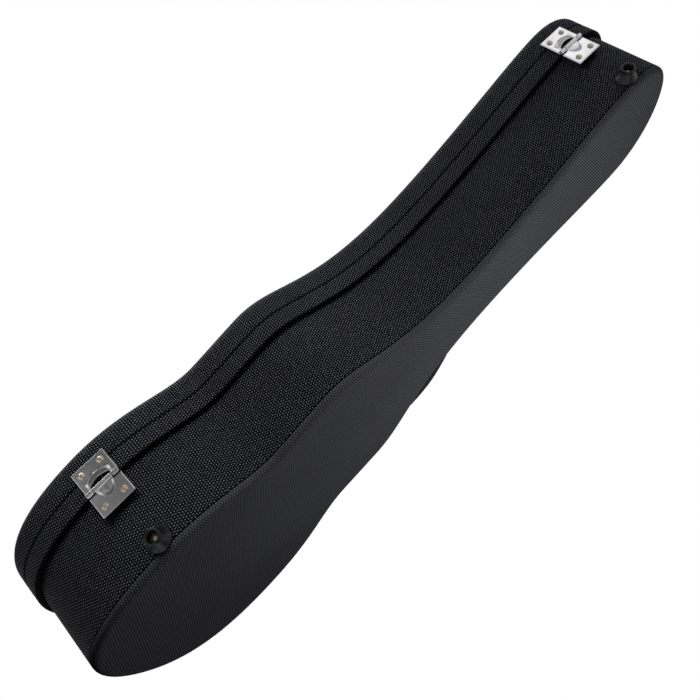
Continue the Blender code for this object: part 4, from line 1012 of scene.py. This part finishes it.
def feet(look):
    # from the bore's floor up to the round rim and down outside it; there the radius grows evenly from neck
    # to base, less half a sine wave that hollows the flare
    length, turn, bore, base = picked(look, "length rimRound bore base")
    floor, crest = length - look["boreDepth"], length - turn
    neck = crest - 2 * turn
    share = np.linspace(0, 1, 14)
    flare = look["neck"] + (base - look["neck"]) * share - look["hollow"] * np.sin(math.pi * share)
    profile = [(0, floor), (bore, floor)] + arcRows(bore + turn, crest, turn, 180, 90, 8)
    profile += arcRows(look["rim"] - turn, crest, turn, 90, -40, 12)
    profile += list(zip(flare, neck + (look["baseEdge"] - neck) * share))
    profile += arcRows(base - look["baseRound"], look["baseRise"], look["baseRound"], 0, -90, 4) + [(0, 0)]
    for name, x, lean in look["places"]:
        spot, out = planAt(arcAt(x))
        place = standing((*(spot + out * look["seat"]), look["height"]), (out[1], -out[0]))
        addGrids("foot_" + name, [turned(profile, outwards(), 72)], place, rubber, "body")
        points, faces = slottedHead(*look["screw"], *look["slot"], math.radians(lean))
        head = moved(points, outwards(0, floor + look["seat"])), faces
        addGrids("foot_screw_" + name, [head], place, brass, "body")


feet(footSet)
print("feet turned")


latchSet = {
    "places": ("tail", "waist", "head"), "edge": 0.00028, "pin": (0.0103, 0.00125),
    "wire": 0.0012, "inset": 0.0068, "half": 0.0120, "out": 0.0014, "rise": 0.0267, "turn": 0.0030,
    "rivet": (0.00206, 0.00116), "baseRivets": (0.0086, -0.0045, (-0.0115, -0.0215)),
    "keeperRivets": (0.0050, -0.0001, (0.0275,)),
}


def latches(look):
    inset, half, out, rise = picked(look, "inset half out rise")
    corners = [(-inset, 0, 0), (-half, 0, 0), (-half, out, rise)]
    corners += [(-x, y, z) for x, y, z in corners[::-1]]
    bail = swept(corners, [look["turn"]] * 4, look["wire"], Vector((0, rise, -out)).normalized())
    pin = [turned(rod(*look["pin"]), lengthwise())]
    for name in look["places"]:
        lever, catch = "latch_lever_" + name, "latch_bail_" + name
        for node, body in (("latch_base_" + name, "body"), (lever, lever), ("latch_keeper_" + name, "lid")):
            roundedCopy(node, chrome, body, look["edge"], sharp=50)
        turn, swing = joints[lever + "_turn"], joints[catch + "_turn"]
        place = standing(turn["pos_m"], turn["axis"])
        addGrids("latch_pin_" + name, pin, place, steel, "body")
        for part, body in (("base", "body"), ("keeper", "lid")):
            apart, face, heights = look[part + "Rivets"]
            heads = [turned(rivetHead(*look["rivet"]), outwards(side * apart, face, height), 32)
                     for side in (-1, 1) for height in heights]
            addGrids(f"latch_{part}_rivets_{name}", heads, place, chrome, body, False)
        addGrids(catch, [bail], standing(swing["pos_m"], swing["axis"]), steel, catch)


latches(latchSet)
print("latches made")

handleSet = {
    "rod": 0.0022, "reach": 0.0255, "droop": 55.0, "corner": 0.0100, "armInset": 0.0058, "gap": 0.0003,
    "grip": 0.0085, "gripEnd": 0.0062, "chamfer": 0.0015, "bracketEdge": 0.0003, "bend": 1.1,
}


def handle(look):
    swing = joints["handle_swing"]
    axis, spot = Vector(swing["axis"]), Vector(swing["pos_m"])
    place = standing(spot, axis) @ Matrix.Rotation(math.radians(-look["droop"]), 4, "X")
    mesh = frame["nodes"]["handle_rod"].data
    points = np.empty(len(mesh.vertices) * 3, np.float32)
    mesh.vertices.foreach_get("co", points)
    tip = float(np.abs((points.reshape(-1, 3) - np.array(spot)) @ np.array(axis)).max())
    arm, reach, wire = tip - look["armInset"], look["reach"], look["rod"]
    corners = [(-tip, 0, 0), (-arm, 0, 0), (-arm, reach, 0)]
    corners += [(-x, y, z) for x, y, z in corners[::-1]]
    bend = wire * look["bend"]
    wires = swept(corners, [bend, look["corner"], look["corner"], bend], wire, (0, 0, 1), 24)
    addGrids("handle_rod", [wires], place, steel, "handle")

    # the grip swells from its ends to its middle by half a cosine wave, round a bore for the rod
    half, hole = arm - look["corner"] - look["gap"], wire + look["gap"]
    end, cut = look["gripEnd"], look["chamfer"]
    share = np.linspace(-1, 1, 41)[1:-1]
    swell = end + (look["grip"] - end) * np.cos(share * math.pi / 2)
    profile = [(hole, -half)] + arcRows(end - cut, cut - half, cut, -90, 0, 5)
    profile += list(zip(swell, share * (half - cut)))
    profile += arcRows(end - cut, half - cut, cut, 0, 90, 5) + [(hole, half)]
    grip = turned(profile, lengthwise(0, reach), 64, True)
    addGrids("handle_grip", [grip], place, gripPlastic, "handle")
    for name in ("tail", "head"):
        roundedCopy("handle_bracket_" + name, steel, "body", look["bracketEdge"])


handle(handleSet)
print("handle made")
